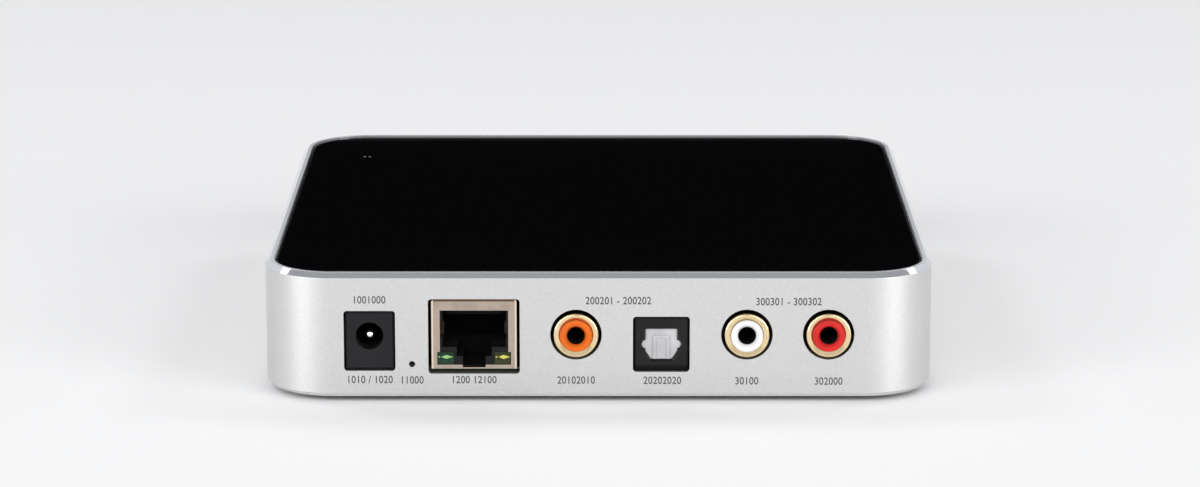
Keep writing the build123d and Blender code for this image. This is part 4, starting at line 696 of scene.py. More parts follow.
@dataclass(frozen=True)
class PrintInk(Finish):
    """Thin grey ink, a little uneven."""

    color: Color = (0.044, 0.043, 0.045)

    def paint(self, sketch: Sketch) -> None:
        """Draws the material's nodes."""
        speckle = sketch.noise(sketch.place(), 9000.0, 2.0)
        color = sketch.blend(speckle.ramp(0.45, 0.75), self.color, toned(self.color, 1.5))
        sketch.surface({"Base Color": color, "Roughness": 0.55 + (speckle - 0.5) * 0.2})


class Grower:
    """A Geometry Nodes tree that grows a piece from a chain of vertices."""

    title: str
    inputs: dict[str, str]

    def __init__(self) -> None:
        """Builds the node tree once."""
        self.tree = bpy.data.node_groups.new(self.title, "GeometryNodeTree")
        for name, kind in {"Geometry": "Geometry", **self.inputs, "Material": "Material"}.items():
            self.tree.interface.new_socket(name, in_out="INPUT", socket_type=f"NodeSocket{kind}")
        self.tree.interface.new_socket("Geometry", in_out="OUTPUT", socket_type="NodeSocketGeometry")
        sketch = Sketch(self.tree)
        given = sketch.node("NodeGroupInput").outputs
        real = sketch.signal("GeometryNodeRealizeInstances", {0: self.draw(sketch, given)})
        done = sketch.signal("GeometryNodeSetMaterial", {0: real, "Material": given["Material"]})
        sketch.node("NodeGroupOutput", {0: done})

    def draw(self, sketch: Sketch, given: bpy.types.NodeOutputs) -> Signal:
        """Draws the tree's own nodes.

        Args:
            sketch: The tree being drawn.
            given: The tree's inputs.

        Returns:
            The grown geometry.
        """
        raise NotImplementedError

    def grow(self, name: str, chain: Sequence[Point], values: dict[str, Any], finish: Finish,
             place: Matrix) -> bpy.types.Object:
        """Runs the tree on a chain and keeps the result as a plain mesh.

        Args:
            name: The piece's name.
            chain: The chain's points.
            values: The tree's inputs by name.
            finish: The piece's finish.
            place: Where the result goes.

        Returns:
            The new piece, at the origin, with its place in its mesh.
        """
        mesh = bpy.data.meshes.new(name)
        mesh.from_pydata(list(chain), [(index, index + 1) for index in range(len(chain) - 1)], [])
        seed = linked(name + "_seed", mesh)
        modifier = seed.modifiers.new("grow", "NODES")
        modifier.node_group = self.tree
        sockets = {item.name: item.identifier for item in self.tree.interface.items_tree if item.in_out == "INPUT"}
        for key, value in {**values, "Material": finish.build()}.items():
            modifier[sockets[key]] = value
        result = evaluated_mesh(seed)
        seed.modifiers.clear()
        bpy.data.objects.remove(seed)
        result.transform(place)
        outward(result)
        result.name = name
        return linked(name, result)


class TurnedShape(Grower):
    """A lathe, which turns the chain about the Z axis."""

    title = "turned_shape"
    inputs = {"Sides": "Int", "Sharp Angle": "Float"}
    join = 1e-7

    def draw(self, sketch: Sketch, given: bpy.types.NodeOutputs) -> Signal:
        """Draws a grid whose rows follow the chain's points round the axis."""
        profile, sides = given["Geometry"], Signal(sketch, given["Sides"])
        here = sketch.signal("GeometryNodeInputPosition")
        count = sketch.signal("GeometryNodeAttributeDomainSize", {0: profile}, "Point Count", component="MESH")
        grid = sketch.signal("GeometryNodeMeshGrid", {
            "Size X": 1.0, "Size Y": 1.0, "Vertices X": sides + 1, "Vertices Y": count,
        }, "Mesh")
        across, along, _ = sketch.axes(here)
        column = (across + 0.5) * (2.0 * math.pi)
        row = (along + 0.5) * (count - 1) + 0.5
        step = sketch.signal("FunctionNodeFloatToInt", {0: row}, rounding_mode="FLOOR")
        sample = {"Geometry": profile, "Value": here, "Index": step}
        point = sketch.signal("GeometryNodeSampleIndex", sample, data_type="FLOAT_VECTOR", domain="POINT")
        radius, _, height = sketch.axes(point)
        turned = {0: radius * column.cosine(), 1: radius * column.sine(), 2: height}
        spot = sketch.signal("ShaderNodeCombineXYZ", turned)
        bent = sketch.signal("GeometryNodeSetPosition", {"Geometry": grid, "Position": spot})
        joined = sketch.signal("GeometryNodeMergeByDistance", {"Geometry": bent, "Distance": self.join})
        smooth = sketch.signal("GeometryNodeSetShadeSmooth", {0: joined, "Shade Smooth": True}, domain="FACE")
        angle = sketch.signal("GeometryNodeInputMeshEdgeAngle", output="Unsigned Angle")
        sharp = sketch.signal("FunctionNodeCompare", {0: angle, 1: given["Sharp Angle"]}, operation="GREATER_THAN")
        edges = {0: smooth, "Selection": sharp, "Shade Smooth": False}
        return sketch.signal("GeometryNodeSetShadeSmooth", edges, domain="EDGE")


class WireComb(Grower):
    """A comb: the chain as one bent wire, repeated across at an even pitch."""

    title = "wire_comb"
    inputs = {"Count": "Int", "Pitch": "Float", "Wire Radius": "Float", "Bend Radius": "Float"}
    bend_steps = 6
    wire_sides = 10

    def draw(self, sketch: Sketch, given: bpy.types.NodeOutputs) -> Signal:
        """Draws the wire and its copies."""
        count, pitch = Signal(sketch, given["Count"]), Signal(sketch, given["Pitch"])
        line = sketch.signal("GeometryNodeMeshToCurve", {0: given["Geometry"]})
        bent = sketch.signal("GeometryNodeFilletCurve", {
            "Curve": line, "Radius": given["Bend Radius"], "Limit Radius": True, "Count": self.bend_steps,
        }, mode="POLY")
        ring = sketch.signal("GeometryNodeCurvePrimitiveCircle", {
            "Resolution": self.wire_sides, "Radius": given["Wire Radius"],
        }, mode="RADIUS")
        wire = sketch.signal("GeometryNodeCurveToMesh", {"Curve": bent, "Profile Curve": ring, "Fill Caps": True})
        start = sketch.signal("ShaderNodeCombineXYZ", {0: (count - 1) * pitch * -0.5})
        stride = sketch.signal("ShaderNodeCombineXYZ", {0: pitch})
        row = {"Count": count, "Start Location": start, "Offset": stride}
        spots = sketch.signal("GeometryNodeMeshLine", row, mode="OFFSET")
        comb = sketch.signal("GeometryNodeInstanceOnPoints", {"Points": spots, "Instance": wire})
        return sketch.signal("GeometryNodeSetShadeSmooth", {0: comb, "Shade Smooth": True}, domain="FACE")


def outward(mesh: bpy.types.Mesh) -> None:
    """Points a closed mesh's faces outwards.

    Args:
        mesh: The mesh to mend.
    """
    edit = bmesh.new()
    edit.from_mesh(mesh)
    bmesh.ops.recalc_face_normals(edit, faces=edit.faces)
    edit.to_mesh(mesh)
    edit.free()


class Workshop:
    """Dresses carried-over parts and adds new pieces."""

    def __init__(self, frame: dict[str, Any]) -> None:
        """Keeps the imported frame.
        """
        self.frame = frame
        self.lathe = TurnedShape()
        self.comb = WireComb()
        self.made = 0

    def dress(self, finish: Finish, *nodes: str) -> None:
        """Gives carried-over parts their finish.

        Args:
            finish: The finish.
            nodes: The parts' names.
        """
        material = finish.build()
        for name in nodes:
            mesh_object = self.frame["nodes"][name]
            if not mesh_object.material_slots:
                mesh_object.data.materials.append(material)
            for slot in mesh_object.material_slots:
                slot.material = material
            LOG.info("dressed %s in %s", name, material.name)

    def dress_all(self, table: dict[Finish, tuple[str, ...]]) -> None:
        """Gives several groups of parts their finishes.

        Args:
            table: The parts' names by finish.
        """
        for finish, nodes in table.items():
            self.dress(finish, *nodes)

    def keep(self, piece: bpy.types.Object, slot: str, *replaced: str, body: Body = Body.CASE) -> None:
        """Enters a finished piece in the frame.

        Args:
            piece: The piece.
            slot: The record's material slot; not used.
            replaced: The parts that it stands for.
            body: The body that it moves with.
        """
        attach(piece, body.value)
        if replaced:
            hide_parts(*replaced)
        self.made += 1
        LOG.info("made %s, %d faces", piece.name, len(piece.data.polygons))

    def turn(self, name: str, profile: Sequence[tuple[float, float]], finish: Finish, place: Matrix, slot: str,
             *replaced: str, sides: int = TURNED_SIDES) -> None:
        """Turns a profile and enters the piece in the frame.

        Args:
            name: The piece's name.
            profile: Radius and height pairs, in metres.
            finish: The piece's finish.
            place: Where the Z axis and its origin go.
            slot: The record's material slot.
            replaced: The parts that it stands for.
            sides: The steps round the axis.
        """
        chain = [(radius, 0.0, height) for radius, height in profile]
        piece = self.lathe.grow(name, chain, {"Sides": sides, "Sharp Angle": SHARP_ANGLE}, finish, place)
        self.keep(piece, slot, *replaced)

    def soften(self, nodes: Sequence[str], width: float, finish: Finish, slot: str, body: Body = Body.CASE,
               seam: float | None = None) -> None:
        """Replaces parts by a copy whose edges are broken, as tools and moulds leave them.

        Args:
            nodes: The parts' names.
            width: The width of the broken edge.
            finish: The finish.
            slot: The record's material slot.
            body: The body that it moves with.
            seam: How far to each side two parts of one machined piece meet face to face.
        """
        edit = bmesh.new()
        for name in nodes:
            mesh = self.frame["nodes"][name].data.copy()
            for layer in ("custom_normal", "sharp_face", "sharp_edge"):
                if layer in mesh.attributes:
                    mesh.attributes.remove(mesh.attributes[layer])
            edit.from_mesh(mesh)
        if seam is not None:
            for place in (-seam, seam):
                meeting = [face for face in edit.faces
                           if all(abs(vert.co.x - place) < SEAM_REACH for vert in face.verts)]
                bmesh.ops.delete(edit, geom=meeting, context="FACES")
        bmesh.ops.remove_doubles(edit, verts=edit.verts, dist=WELD_REACH)
        bmesh.ops.dissolve_limit(edit, angle_limit=FLAT_ANGLE, verts=edit.verts, edges=edit.edges,
                                 use_dissolve_boundaries=False)
        for face in edit.faces:
            face.smooth = True
        LOG.info("%s: %d open edges", nodes[0], sum(edge.is_boundary for edge in edit.edges))
        mesh = bpy.data.meshes.new(nodes[0] + "_finished")
        edit.to_mesh(mesh)
        edit.free()
        piece = linked(nodes[0] + "_finished", mesh)
        bevel = piece.modifiers.new("edge", "BEVEL")
        bevel.width, bevel.segments = width, EDGE_STEPS
        bevel.limit_method, bevel.angle_limit = "ANGLE", SHARP_ANGLE
        bevel.use_clamp_overlap, bevel.harden_normals = False, True
        result = evaluated_mesh(piece)
        piece.modifiers.clear()
        piece.data = result
        result.materials.clear()
        result.materials.append(finish.build())
        self.keep(piece, slot, *nodes, body=body)


@dataclass
class Housing:
    """The aluminium frame, the glass, the floor plate and what holds them."""

    shop: Workshop
    edge: float = 0.035 * MM
    seam: float = 49.7 * MM
    window_radius: float = 0.33 * MM
    window_pitch: float = 1.05 * MM
    window_place: Point = (-49.08 * MM, 42.75 * MM, GLASS_TOP)
    window_height: float = 0.008 * MM

    def build(self) -> None:
        """Builds and dresses every piece of the housing."""
        self.shop.soften(("body_frame", "rear_wall"), self.edge, BlastedAluminium(), "frame_aluminium", seam=self.seam)
        feet = tuple(f"foot_{end}_{side}" for end in ("rear", "front") for side in ("left", "right"))
        self.shop.dress_all({
            BlackGlass(): ("top_panel",),
            SoftRubber("bonding_foam", (0.012, 0.012, 0.012)): ("panel_gasket",),
            MouldedPlastic("floor_plastic", (0.018, 0.018, 0.020), 0.58, 3600.0, 0.02 * MM): ("base_plate",),
            SoftRubber("foot_rubber_soft", (0.016, 0.016, 0.016)): feet,
            RolledSheet("zinc_plate", (0.42, 0.42, 0.43), 0.34): ("base_screws", "board_screws"),
        })
        self.windows()

    def windows(self) -> None:
        """Adds the two small clear windows over the status lights."""
        pale = MouldedPlastic("window_print", (0.120, 0.120, 0.125), 0.30)
        for name, side in (("left", -0.5), ("right", 0.5)):
            x, y, z = self.window_place
            place = Matrix.Translation((x + side * self.window_pitch, y, z))
            radius, height = self.window_radius, self.window_height
            profile = [(0.0, 0.0), (radius, 0.0), (radius, height * 0.5), (radius * 0.9, height), (0.0, height)]
            self.shop.turn(f"status_window_{name}", profile, pale, place, "guide_clear", sides=32)


@dataclass
class RearMarks:
    """Plain numbers printed beside the sockets, in a narrow face."""

    shop: Workshop
    height: float = 1.42 * MM
    narrow: float = 0.84
    thickness: float = 0.012 * MM
    weight: float = 0.022 * MM
    cap_share: float = 0.70
    spacing: float = 1.05
    below: tuple[tuple[str, float, float], ...] = (
        ("1010 / 1020", -42.79, 4.53), ("11000", -34.90, 4.45), ("1200 12100", -23.30, 4.51),
        ("20102010", -4.20, 4.43), ("20202020", 11.93, 4.37), ("30100", 27.71, 4.28), ("302000", 43.02, 4.22),
    )
    above: tuple[tuple[str, float, float], ...] = (
        ("1001000", -42.76, 19.89), ("200201 - 200202", 3.70, 19.73), ("300301 - 300302", 35.45, 19.54),
    )

    def build(self) -> None:
        """Makes every mark."""
        ink = PrintInk("panel_ink")
        for row, marks in (("below", self.below), ("above", self.above)):
            for index, (words, x, z) in enumerate(marks):
                piece = self.mark(f"mark_{row}_{index + 1}", words, x * MM, z * MM, ink)
                self.shop.keep(piece, "frame_aluminium")

    def mark(self, name: str, words: str, x: float, z: float, ink: Finish) -> bpy.types.Object:
        """Makes one mark as a thin mesh on the rear face.

        Args:
            name: The piece's name.
            words: The figures.
            x: The mark's middle across the face.
            z: The mark's middle over the floor.
            ink: The ink.

        Returns:
            The mark.
        """
        curve = bpy.data.curves.new(name, "FONT")
        curve.body, curve.size = words, self.height / self.cap_share
        curve.align_x, curve.align_y = "CENTER", "CENTER"
        curve.extrude, curve.space_character, curve.offset = self.thickness, self.spacing, self.weight
        text = linked(name + "_text", curve)
        mesh = evaluated_mesh(text)
        bpy.data.objects.remove(text)
        mesh.transform(panel(x, z) @ Matrix.Diagonal((self.narrow, 1.0, 1.0, 1.0)))
        mesh.materials.clear()
        mesh.materials.append(ink.build())
        return linked(name, mesh)


def panel(x: float, up: float) -> Matrix:
    """A local frame on the rear face: Z points out of it.

    Args:
        x: The frame's place across the face.
        up: Its height over the floor.

    Returns:
        The frame's matrix.
    """
    return Matrix.Translation((x, REAR_Y, up)) @ Matrix.Rotation(math.radians(90.0), 4, "X")


@dataclass
class PhonoJack:
    """One phono socket: dished outer contact, coloured core and slotted centre contact."""

    shop: Workshop
    name: str
    x: float
    core: Core
    core_slot: str
    axis_height: float = BOARD_TOP + 6.86 * MM
    radius: float = 4.15 * MM
    lip: float = 0.55 * MM
    rim: float = 0.27 * MM
    wall: float = 0.45 * MM
    shoulder: float = 0.25 * MM
    dish: float = 0.61 * MM
    skirt: float = 0.7 * MM
    face: float = 1.4 * MM
    bore: float = 1.68 * MM
    countersink: float = 0.45 * MM
    countersink_depth: float = 0.7 * MM
    depth: float = 10.0 * MM
    contact_depth: float = 3.2 * MM
    core_edge: float = 0.22 * MM
    contact_seat: float = 1.9 * MM
    foot: float = -0.6 * MM

    def build(self) -> None:
        """Builds the socket."""
        axis = (self.x, self.axis_height)
        gold = TurnedPlating(f"{self.name}_gold", (0.90, 0.72, 0.44), axis, 0.11)
        # Painted shade: the core is painted near black and matt inside its bore and along its side behind the gold
        # lip.
        bore = Hollow(*axis, self.bore + 0.04 * MM, REAR_Y - self.face + self.countersink_depth)
        groove_shade = Hollow(*axis, self.radius, REAR_Y - self.face + 0.45 * MM, 0.45 * MM)
        core = MouldedPlastic(f"{self.name}_core", self.core.value, 0.46, 6000.0, 0.004 * MM, 0.22, (bore, groove_shade))
        place = panel(*axis)
        self.shop.turn(f"{self.name}_rolled_contact", self.barrel_profile(), gold, place, "gold_plate")
        self.shop.turn(f"{self.name}_core_face", self.core_profile(), core, place, self.core_slot,
                       f"{self.name}_insulator")
        self.shop.dress(gold, f"{self.name}_barrel")
        # The centre contact is painted near black: painted shade in the bore.
        self.shop.dress(TurnedPlating(f"{self.name}_shaded_tube", (0.016, 0.014, 0.012), axis, 0.50), f"{self.name}_contact")

    def barrel_profile(self) -> list[tuple[float, float]]:
        """The outer contact's wall with its round rim and the cone inside it.

        Returns:
            Radius and height pairs.
        """
        outer, lip, rim = self.radius, self.lip, self.rim
        grow = 0.006 * MM
        centre, top = outer - rim, self.shoulder + lip
        points = [(outer + grow, self.foot)]
        for index in range(8):
            angle = math.pi * index / 12
            points.append((centre + (rim + grow) * math.cos(angle), top - rim + (rim + grow) * math.sin(angle)))
        inner, wall = outer - 2 * lip - grow, outer - self.wall
        back = self.shoulder - self.skirt * 0.6
        points += [(outer - 2 * lip + 0.03 * MM, self.dish), (inner, self.dish - 0.04 * MM), (inner, back)]
        return points + [(wall, back), (wall, self.foot), (outer + grow, self.foot)]

    def core_profile(self) -> list[tuple[float, float]]:
        """The core's section, from its countersunk bore round to its back.

        Returns:
            Radius and height pairs.
        """
        front = self.radius - 2 * self.lip - 0.05 * MM
        full = self.radius - self.wall - 0.05 * MM
        edge, rim = self.core_edge, self.bore + self.countersink
        points = [
            (self.bore, -self.contact_depth), (self.bore, self.face - self.countersink_depth),
            (self.bore + 0.04 * MM, self.face - self.countersink_depth * 0.86),
            (rim - 0.05 * MM, self.face - 0.05 * MM), (rim, self.face),
        ]
        for index in range(5):
            angle = math.pi / 2 * index / 4
            points.append((front - edge + edge * math.sin(angle), self.face - edge + edge * math.cos(angle)))
        seat, back = self.shoulder - self.skirt - 0.05 * MM, -self.depth + 0.5 * MM
        points += [(front, seat), (full, seat), (full, back), (self.contact_seat, back)]
        return points + [(self.contact_seat, -self.contact_depth), (self.bore, -self.contact_depth)]


@dataclass
class PowerJack:
    """The barrel power socket."""

    shop: Workshop
    x: float = -42.75 * MM
    axis_height: float = BOARD_TOP + 6.55 * MM
    bore_radius: float = 2.6 * MM
    recess: float = 0.25 * MM
    pin_radius: float = 0.825 * MM
    tip: float = -1.05 * MM
    dimple: float = 0.28 * MM

    def build(self) -> None:
        """Builds the socket."""
        axis = (self.x, self.axis_height)
        # Painted shade: the housing is painted near black and matt inside the bore, a little way back from its mouth.
        bore = Hollow(*axis, self.bore_radius + 0.6 * MM, REAR_Y + self.recess + 0.12 * MM, 0.3 * MM)
        shell = MouldedPlastic("power_moulding", (0.0105, 0.0094, 0.0112), 0.52, 5200.0, 0.010 * MM, 0.18, (bore,))
        self.shop.soften(("power_jack_housing",), 0.025 * MM, shell, "power_plastic")
        # Painted shade: the pin's plating is painted near black deep in the bore.
        nickel = TurnedPlating("pin_plating", (0.95, 0.94, 0.92), axis, 0.20, shade_depth=REAR_Y + 2.0 * MM)
        self.shop.dress(nickel, "power_jack_pin")
        # The spring leaf is painted near black and matt: painted shade in the bore.
        self.shop.dress(RolledSheet("shaded_leaf_tin", (0.030, 0.028, 0.026), 0.85), "power_jack_spring")
        self.shop.turn("power_pin_tip", self.pin_profile(), nickel, panel(*axis), "pin_nickel", sides=48)

    def pin_profile(self) -> list[tuple[float, float]]:
        """The pin's domed tip with the small centre mark that turning leaves.

        Returns:
            Radius and height pairs.
        """
        radius, grow = self.pin_radius + 0.003 * MM, 0.003 * MM
        points = [(0.0, self.tip - 0.16 * MM + grow), (self.dimple * 0.4, self.tip - 0.13 * MM + grow)]
        for index in range(3, 13):
            angle = math.pi / 2 * index / 12
            points.append((radius * math.sin(angle), self.tip - radius + radius * math.cos(angle) + grow))
        points += [(radius, self.tip - 3.0 * MM), (0.0, self.tip - 3.0 * MM)]
        return points


@dataclass
class EthernetJack:
    """The network socket."""

    shop: Workshop
    x: float = -23.25 * MM
    floor: float = BOARD_TOP + 0.15 * MM
    height: float = 13.25 * MM
    width: float = 16.0 * MM
    lamp_rise: float = 2.0 * MM
    lamp_offset: float = 5.35 * MM
    wires: int = 8
    pitch: float = 1.02 * MM
    wire_radius: float = 0.17 * MM
    wire_bend: float = 0.5 * MM
    wire_top: float = 9.77 * MM
    wire_start: float = 4.9 * MM
    wire_knee: float = 5.3 * MM
    wire_end: float = 12.2 * MM
    wire_drop: float = 2.14 * MM
    tail_radius: float = 0.25 * MM
    tail_bend: float = 0.1 * MM
    tail_top: float = 0.25 * MM
    tail_reach: float = 2.55 * MM
    tail_depth: float = 10.0 * MM
    tail_stagger: float = 2.54 * MM

    def build(self) -> None:
        """Builds the socket."""
        # The shell carries painted shade under its top bend and a painted highlight along its side bends.
        plating = RolledSheet("shell_plating", (0.500, 0.410, 0.342), 0.34, (0.05, 1.0, 1.0), self.floor + self.height,
                              flanks=(self.x, self.width / 2))
        self.shop.soften(("ethernet_shell",), 0.07 * MM, plating, "shell_nickel")
        # Painted shade: the insert is painted near black and matt deeper inside the socket.
        depth = Hollow(self.x, self.floor + self.height / 2, self.width, REAR_Y + 0.6 * MM, 3.0 * MM)
        black = MouldedPlastic("insert_moulding", (0.0070, 0.0070, 0.0072), 0.42, 5200.0, 0.006 * MM, 0.16, (depth,))
        self.shop.soften(("ethernet_insert",), 0.06 * MM, black, "insert_plastic")
        self.lamp("green", -self.lamp_offset, (0.015, 0.044, 0.024), (0.230, 0.430, 0.150))
        self.lamp("yellow", self.lamp_offset, (0.036, 0.043, 0.016), (0.540, 0.480, 0.100))
        self.shop.dress(MouldedPlastic("transformer_moulding", (0.020, 0.020, 0.021), 0.5), "ethernet_transformer")
        self.contacts(RolledSheet("contact_gold", (0.83, 0.60, 0.26), 0.22, (1.0, 0.05, 1.0)))

    def contacts(self, gold: Finish) -> None:
        """Makes the round spring wires and their tails, which stand for the plain ones.

        Args:
            gold: Their finish.
        """
        place = Matrix.Translation((self.x, REAR_Y, self.floor))
        values = {"Count": self.wires, "Pitch": self.pitch, "Wire Radius": self.wire_radius,
                  "Bend Radius": self.wire_bend}
        springs = self.shop.comb.grow("ethernet_spring_wires", self.wire_path(), values, gold, place)
        self.shop.keep(springs, "gold_plate", "ethernet_contacts")
        tail = [(0.0, 0.0, self.tail_top), (0.0, 0.0, -self.tail_reach)]
        values = {"Count": self.wires // 2, "Pitch": self.pitch * 2, "Wire Radius": self.tail_radius,
                  "Bend Radius": self.tail_bend}
        for row, (side, depth) in enumerate(((-0.5, 0.0), (0.5, self.tail_stagger))):
            spot = Matrix.Translation((side * self.pitch, self.tail_depth + depth, 0.0))
            tails = self.shop.comb.grow(f"ethernet_wire_tails_{row + 1}", tail, values, gold, place @ spot)
            self.shop.keep(tails, "gold_plate")

    def wire_path(self) -> list[Point]:
        """One spring wire's corners: out of the carrier, then down and back into the cavity.

        Returns:
            The corners.
        """
        top = self.wire_top
        return [(0.0, self.wire_start, top), (0.0, self.wire_knee, top), (0.0, self.wire_end, top - self.wire_drop)]

    def lamp(self, name: str, offset: float, color: Color, dart: Color) -> None:
        """Dresses one lamp.

        Args:
            name: The lamp's colour name.
            offset: Its distance from the socket's middle.
            color: Its tinted body.
            dart: The colour of its painted highlight and painted glow, the pale inner shape.
        """
        centre = (self.x + offset, 0.0, self.floor + self.lamp_rise)
        self.shop.dress(LampLens(f"lamp_{name}", color, dart, centre), f"ethernet_lamp_{name}")


@dataclass
class OpticalSocket:
    """The optical socket and its hinged shutter."""

    shop: Workshop

    def build(self) -> None:
        """Builds the socket."""
        # Painted shade: the housing's lowest band is painted near black and matt.
        foot = Band(BODY_BOTTOM, BOARD_TOP + 0.88 * MM)
        black = MouldedPlastic("optical_moulding", (0.0088, 0.0086, 0.0090), 0.50, 5200.0, 0.008 * MM, 0.18, (foot,))
        self.shop.soften(("optical_housing",), 0.09 * MM, black, "optical_plastic")
        grey = MouldedPlastic("shutter_moulding", (0.440, 0.440, 0.450), 0.42, 5200.0, 0.006 * MM, 0.4)
        self.shop.soften(("optical_shutter",), 0.07 * MM, grey, "shutter_plastic", Body.SHUTTER)
        self.shop.dress(MouldedPlastic("emitter_moulding", (0.016, 0.016, 0.017), 0.5), "optical_emitter")
        self.shop.dress(RolledSheet("spring_strip", (0.50, 0.50, 0.51), 0.26), "optical_shutter_spring")


@dataclass
class Electronics:
    """The board and everything on it that isn't a socket."""

    shop: Workshop

    def build(self) -> None:
        """Dresses the board and its parts."""
        self.shop.dress_all({
            MouldedPlastic("switch_moulding", (0.025, 0.025, 0.025), 0.5): ("reset_switch_case",),
            MouldedPlastic("plunger_moulding", (0.045, 0.045, 0.046), 0.45): ("reset_switch_plunger",),
            RolledSheet("switch_tin", (0.58, 0.57, 0.55), 0.30): ("reset_switch_cover", "reset_switch_dome"),
            SolderMask(): ("main_board", "radio_board"),
            MouldedPlastic("chip_moulding", (0.020, 0.020, 0.022), 0.55): (
                "processor_chip", "memory_chip", "flash_chip", "output_amplifier", "converter_chip", "regulator_chip"),
            RolledSheet("shield_tinplate", (0.60, 0.60, 0.58), 0.28): (
                "shield_walls", "shield_lid", "radio_shield", "antennas"),
            RolledSheet("crystal_can", (0.62, 0.61, 0.59), 0.20): ("crystals",),
            RolledSheet("brass_bar", (0.66, 0.48, 0.20), 0.28): ("board_standoffs",),
            RolledSheet("capacitor_can", (0.66, 0.67, 0.68), 0.24): ("output_capacitors", "supply_capacitors"),
            MouldedPlastic("ferrite", (0.055, 0.055, 0.058), 0.6): ("power_inductors",),
            SoftRubber("thermal_silicone_pad", (0.24, 0.28, 0.32)): ("thermal_pad",),
            MouldedPlastic("lamp_resin", (0.62, 0.60, 0.46), 0.3): ("status_lights",),
            ClearMoulding("light_guide_clear"): ("light_guide",),
            MouldedPlastic("jack_moulding", (0.015, 0.015, 0.016), 0.45): (
                "coax_jack_housing", "left_jack_housing", "right_jack_housing"),
        })


@dataclass(frozen=True)
class Softbox:
    """One soft rectangular lamp."""

    name: str
    place: Point
    target: Point
    size: tuple[float, float]
    power: float

    def build(self) -> None:
        """Builds the lamp, aimed at its target."""
        lamp = bpy.data.lights.new(self.name, "AREA")
        lamp.shape, lamp.size, lamp.size_y = "RECTANGLE", *self.size
        lamp.energy = self.power
        made = linked(self.name, lamp)
        made.location = self.place
        aim = Vector(self.target) - Vector(self.place)
        made.rotation_euler = aim.to_track_quat("-Z", "Y").to_euler()


@dataclass(frozen=True)
class Sheet:
    """A flat sheet of the studio: the floor, or a glowing card that only mirrors show."""

    name: str
    first_corner: Point
    second_corner: Point
    glow: Color | None = None
    color: Color = (0.92, 0.92, 0.92)

    def build(self) -> None:
        """Builds the sheet, even to both sides of the middle."""
        mesh = bpy.data.meshes.new(self.name)
        (x, y, z), (far_x, far_y, far_z) = self.first_corner, self.second_corner
        rim = [(-x, y, z), (x, y, z), (far_x, far_y, far_z), (-far_x, far_y, far_z)]
        mesh.from_pydata(rim, [], [(0, 1, 2, 3)])
        made = linked(self.name, mesh)
        material, sketch = new_material(f"{self.name}_paper")
        if self.glow is None:
            sketch.surface({"Base Color": self.color, "Roughness": 0.85, "Specular IOR Level": 0.1})
        else:
            sketch.surface({
                "Base Color": (0.0, 0.0, 0.0), "Specular IOR Level": 0.0,
                "Emission Color": self.glow, "Emission Strength": 1.0,
            })
            for kind in ("camera", "diffuse", "shadow", "transmission", "volume_scatter"):
                setattr(made, f"visible_{kind}", False)
        mesh.materials.append(material)


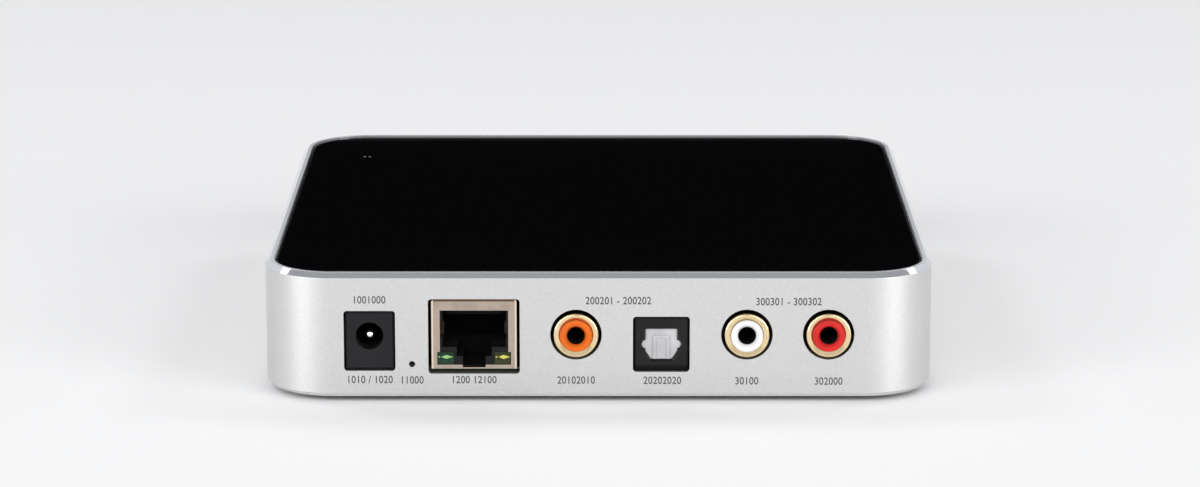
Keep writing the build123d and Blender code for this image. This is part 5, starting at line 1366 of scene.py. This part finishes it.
@dataclass(frozen=True)
class Studio:
    """The pale floor, the soft light and the camera."""

    world_color: Color = (0.86, 0.87, 0.90)
    world_strength: float = 0.38
    backdrop_strength: float = 0.78
    lens: float = 118.7
    sensor: float = 36.0
    camera_place: Point = (0.28 * MM, -778.75 * MM, 198.17 * MM)
    clip: tuple[float, float] = (0.01, 50.0)
    pitch: float = 13.18
    sheets: tuple[Sheet, ...] = (
        Sheet("floor", (4.5, -4.5, 0.0), (4.5, 4.5, 0.0)),
        Sheet("dark_card", (0.1436, 1.2, 0.2595), (0.1684, 1.2, 0.330), (0.004, 0.004, 0.005)),
        Sheet("ceiling_card", (2.0, -1.2, 2.0), (2.0, 0.9, 2.0), (0.06, 0.062, 0.068)),
    )
    lamps: tuple[Softbox, ...] = (
        Softbox("key_softbox", (-0.55, -1.35, 0.80), (0.0, -0.05, 0.0), (1.0, 0.8), 7.1),
        Softbox("fill_softbox", (0.65, -1.25, 0.70), (0.0, -0.05, 0.0), (0.9, 0.7), 4.9),
        Softbox("left_strip", (-1.08, -0.82, 0.34), (0.0, 0.0, 0.01), (0.60, 0.7), 8.0),
        Softbox("right_strip", (1.08, -0.82, 0.34), (0.0, 0.0, 0.01), (0.60, 0.7), 8.0),
        Softbox("left_corner_softbox", (-0.75, 0.38, 0.82), (-0.06, -0.06, 0.02), (0.30, 0.30), 1.6),
        Softbox("right_corner_softbox", (0.75, 0.38, 0.82), (0.06, -0.06, 0.02), (0.30, 0.30), 1.6),
        Softbox("rear_softbox", (0.0, 1.0, 1.25), (0.0, 0.0, 0.0), (1.1, 0.6), 3.5),
    )

    def build(self) -> None:
        """Builds the stage, the lamps and the camera."""
        for sheet in self.sheets:
            sheet.build()
        self.world()
        for lamp in self.lamps:
            lamp.build()
        self.camera()
        bpy.context.scene.view_settings.view_transform = "Standard"

    def world(self) -> None:
        """Builds the even light of the room, and the paler backdrop where it is seen or mirrored."""
        world = bpy.data.worlds.new("studio_world")
        bpy.context.scene.world = world
        world.use_nodes = True
        sketch = Sketch(world.node_tree)
        path = sketch.node("ShaderNodeLightPath")
        rays = [Signal(sketch, path.outputs[f"Is {kind} Ray"]) for kind in ("Camera", "Glossy", "Transmission")]
        seen = rays[0].maximum(rays[1]).maximum(rays[2])
        strength = seen * (self.backdrop_strength - self.world_strength) + self.world_strength
        light = sketch.node("ShaderNodeBackground", {"Color": self.world_color, "Strength": strength})
        sketch.node("ShaderNodeOutputWorld", {"Surface": light.outputs[0]})

    def camera(self) -> None:
        """Builds the camera at the photograph's place."""
        data = bpy.data.cameras.new("camera")
        data.lens, data.sensor_width, data.sensor_fit = self.lens, self.sensor, "HORIZONTAL"
        data.clip_start, data.clip_end = self.clip
        made = linked("camera", data)
        made.location = self.camera_place
        made.rotation_euler = (math.radians(90.0 - self.pitch), 0.0, 0.0)
        bpy.context.scene.camera = made


def main() -> None:
    """Builds the streamer and its studio."""
    logging.basicConfig(level=logging.INFO, format="%(name)s: %(message)s")
    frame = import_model()
    shop = Workshop(frame)
    jacks = [
        PhonoJack(shop, "coax_jack", -4.2 * MM, Core.ORANGE, "core_orange"),
        PhonoJack(shop, "left_jack", 27.7 * MM, Core.WHITE, "core_white"),
        PhonoJack(shop, "right_jack", 42.95 * MM, Core.RED, "core_red"),
    ]
    sockets = [*jacks, PowerJack(shop), EthernetJack(shop), OpticalSocket(shop)]
    for part in [Housing(shop), RearMarks(shop), *sockets, Electronics(shop)]:
        part.build()
        LOG.info("%s is ready", type(part).__name__)
    Studio().build()
    LOG.info("%d new pieces", shop.made)


if __name__ == "__main__":
    main()
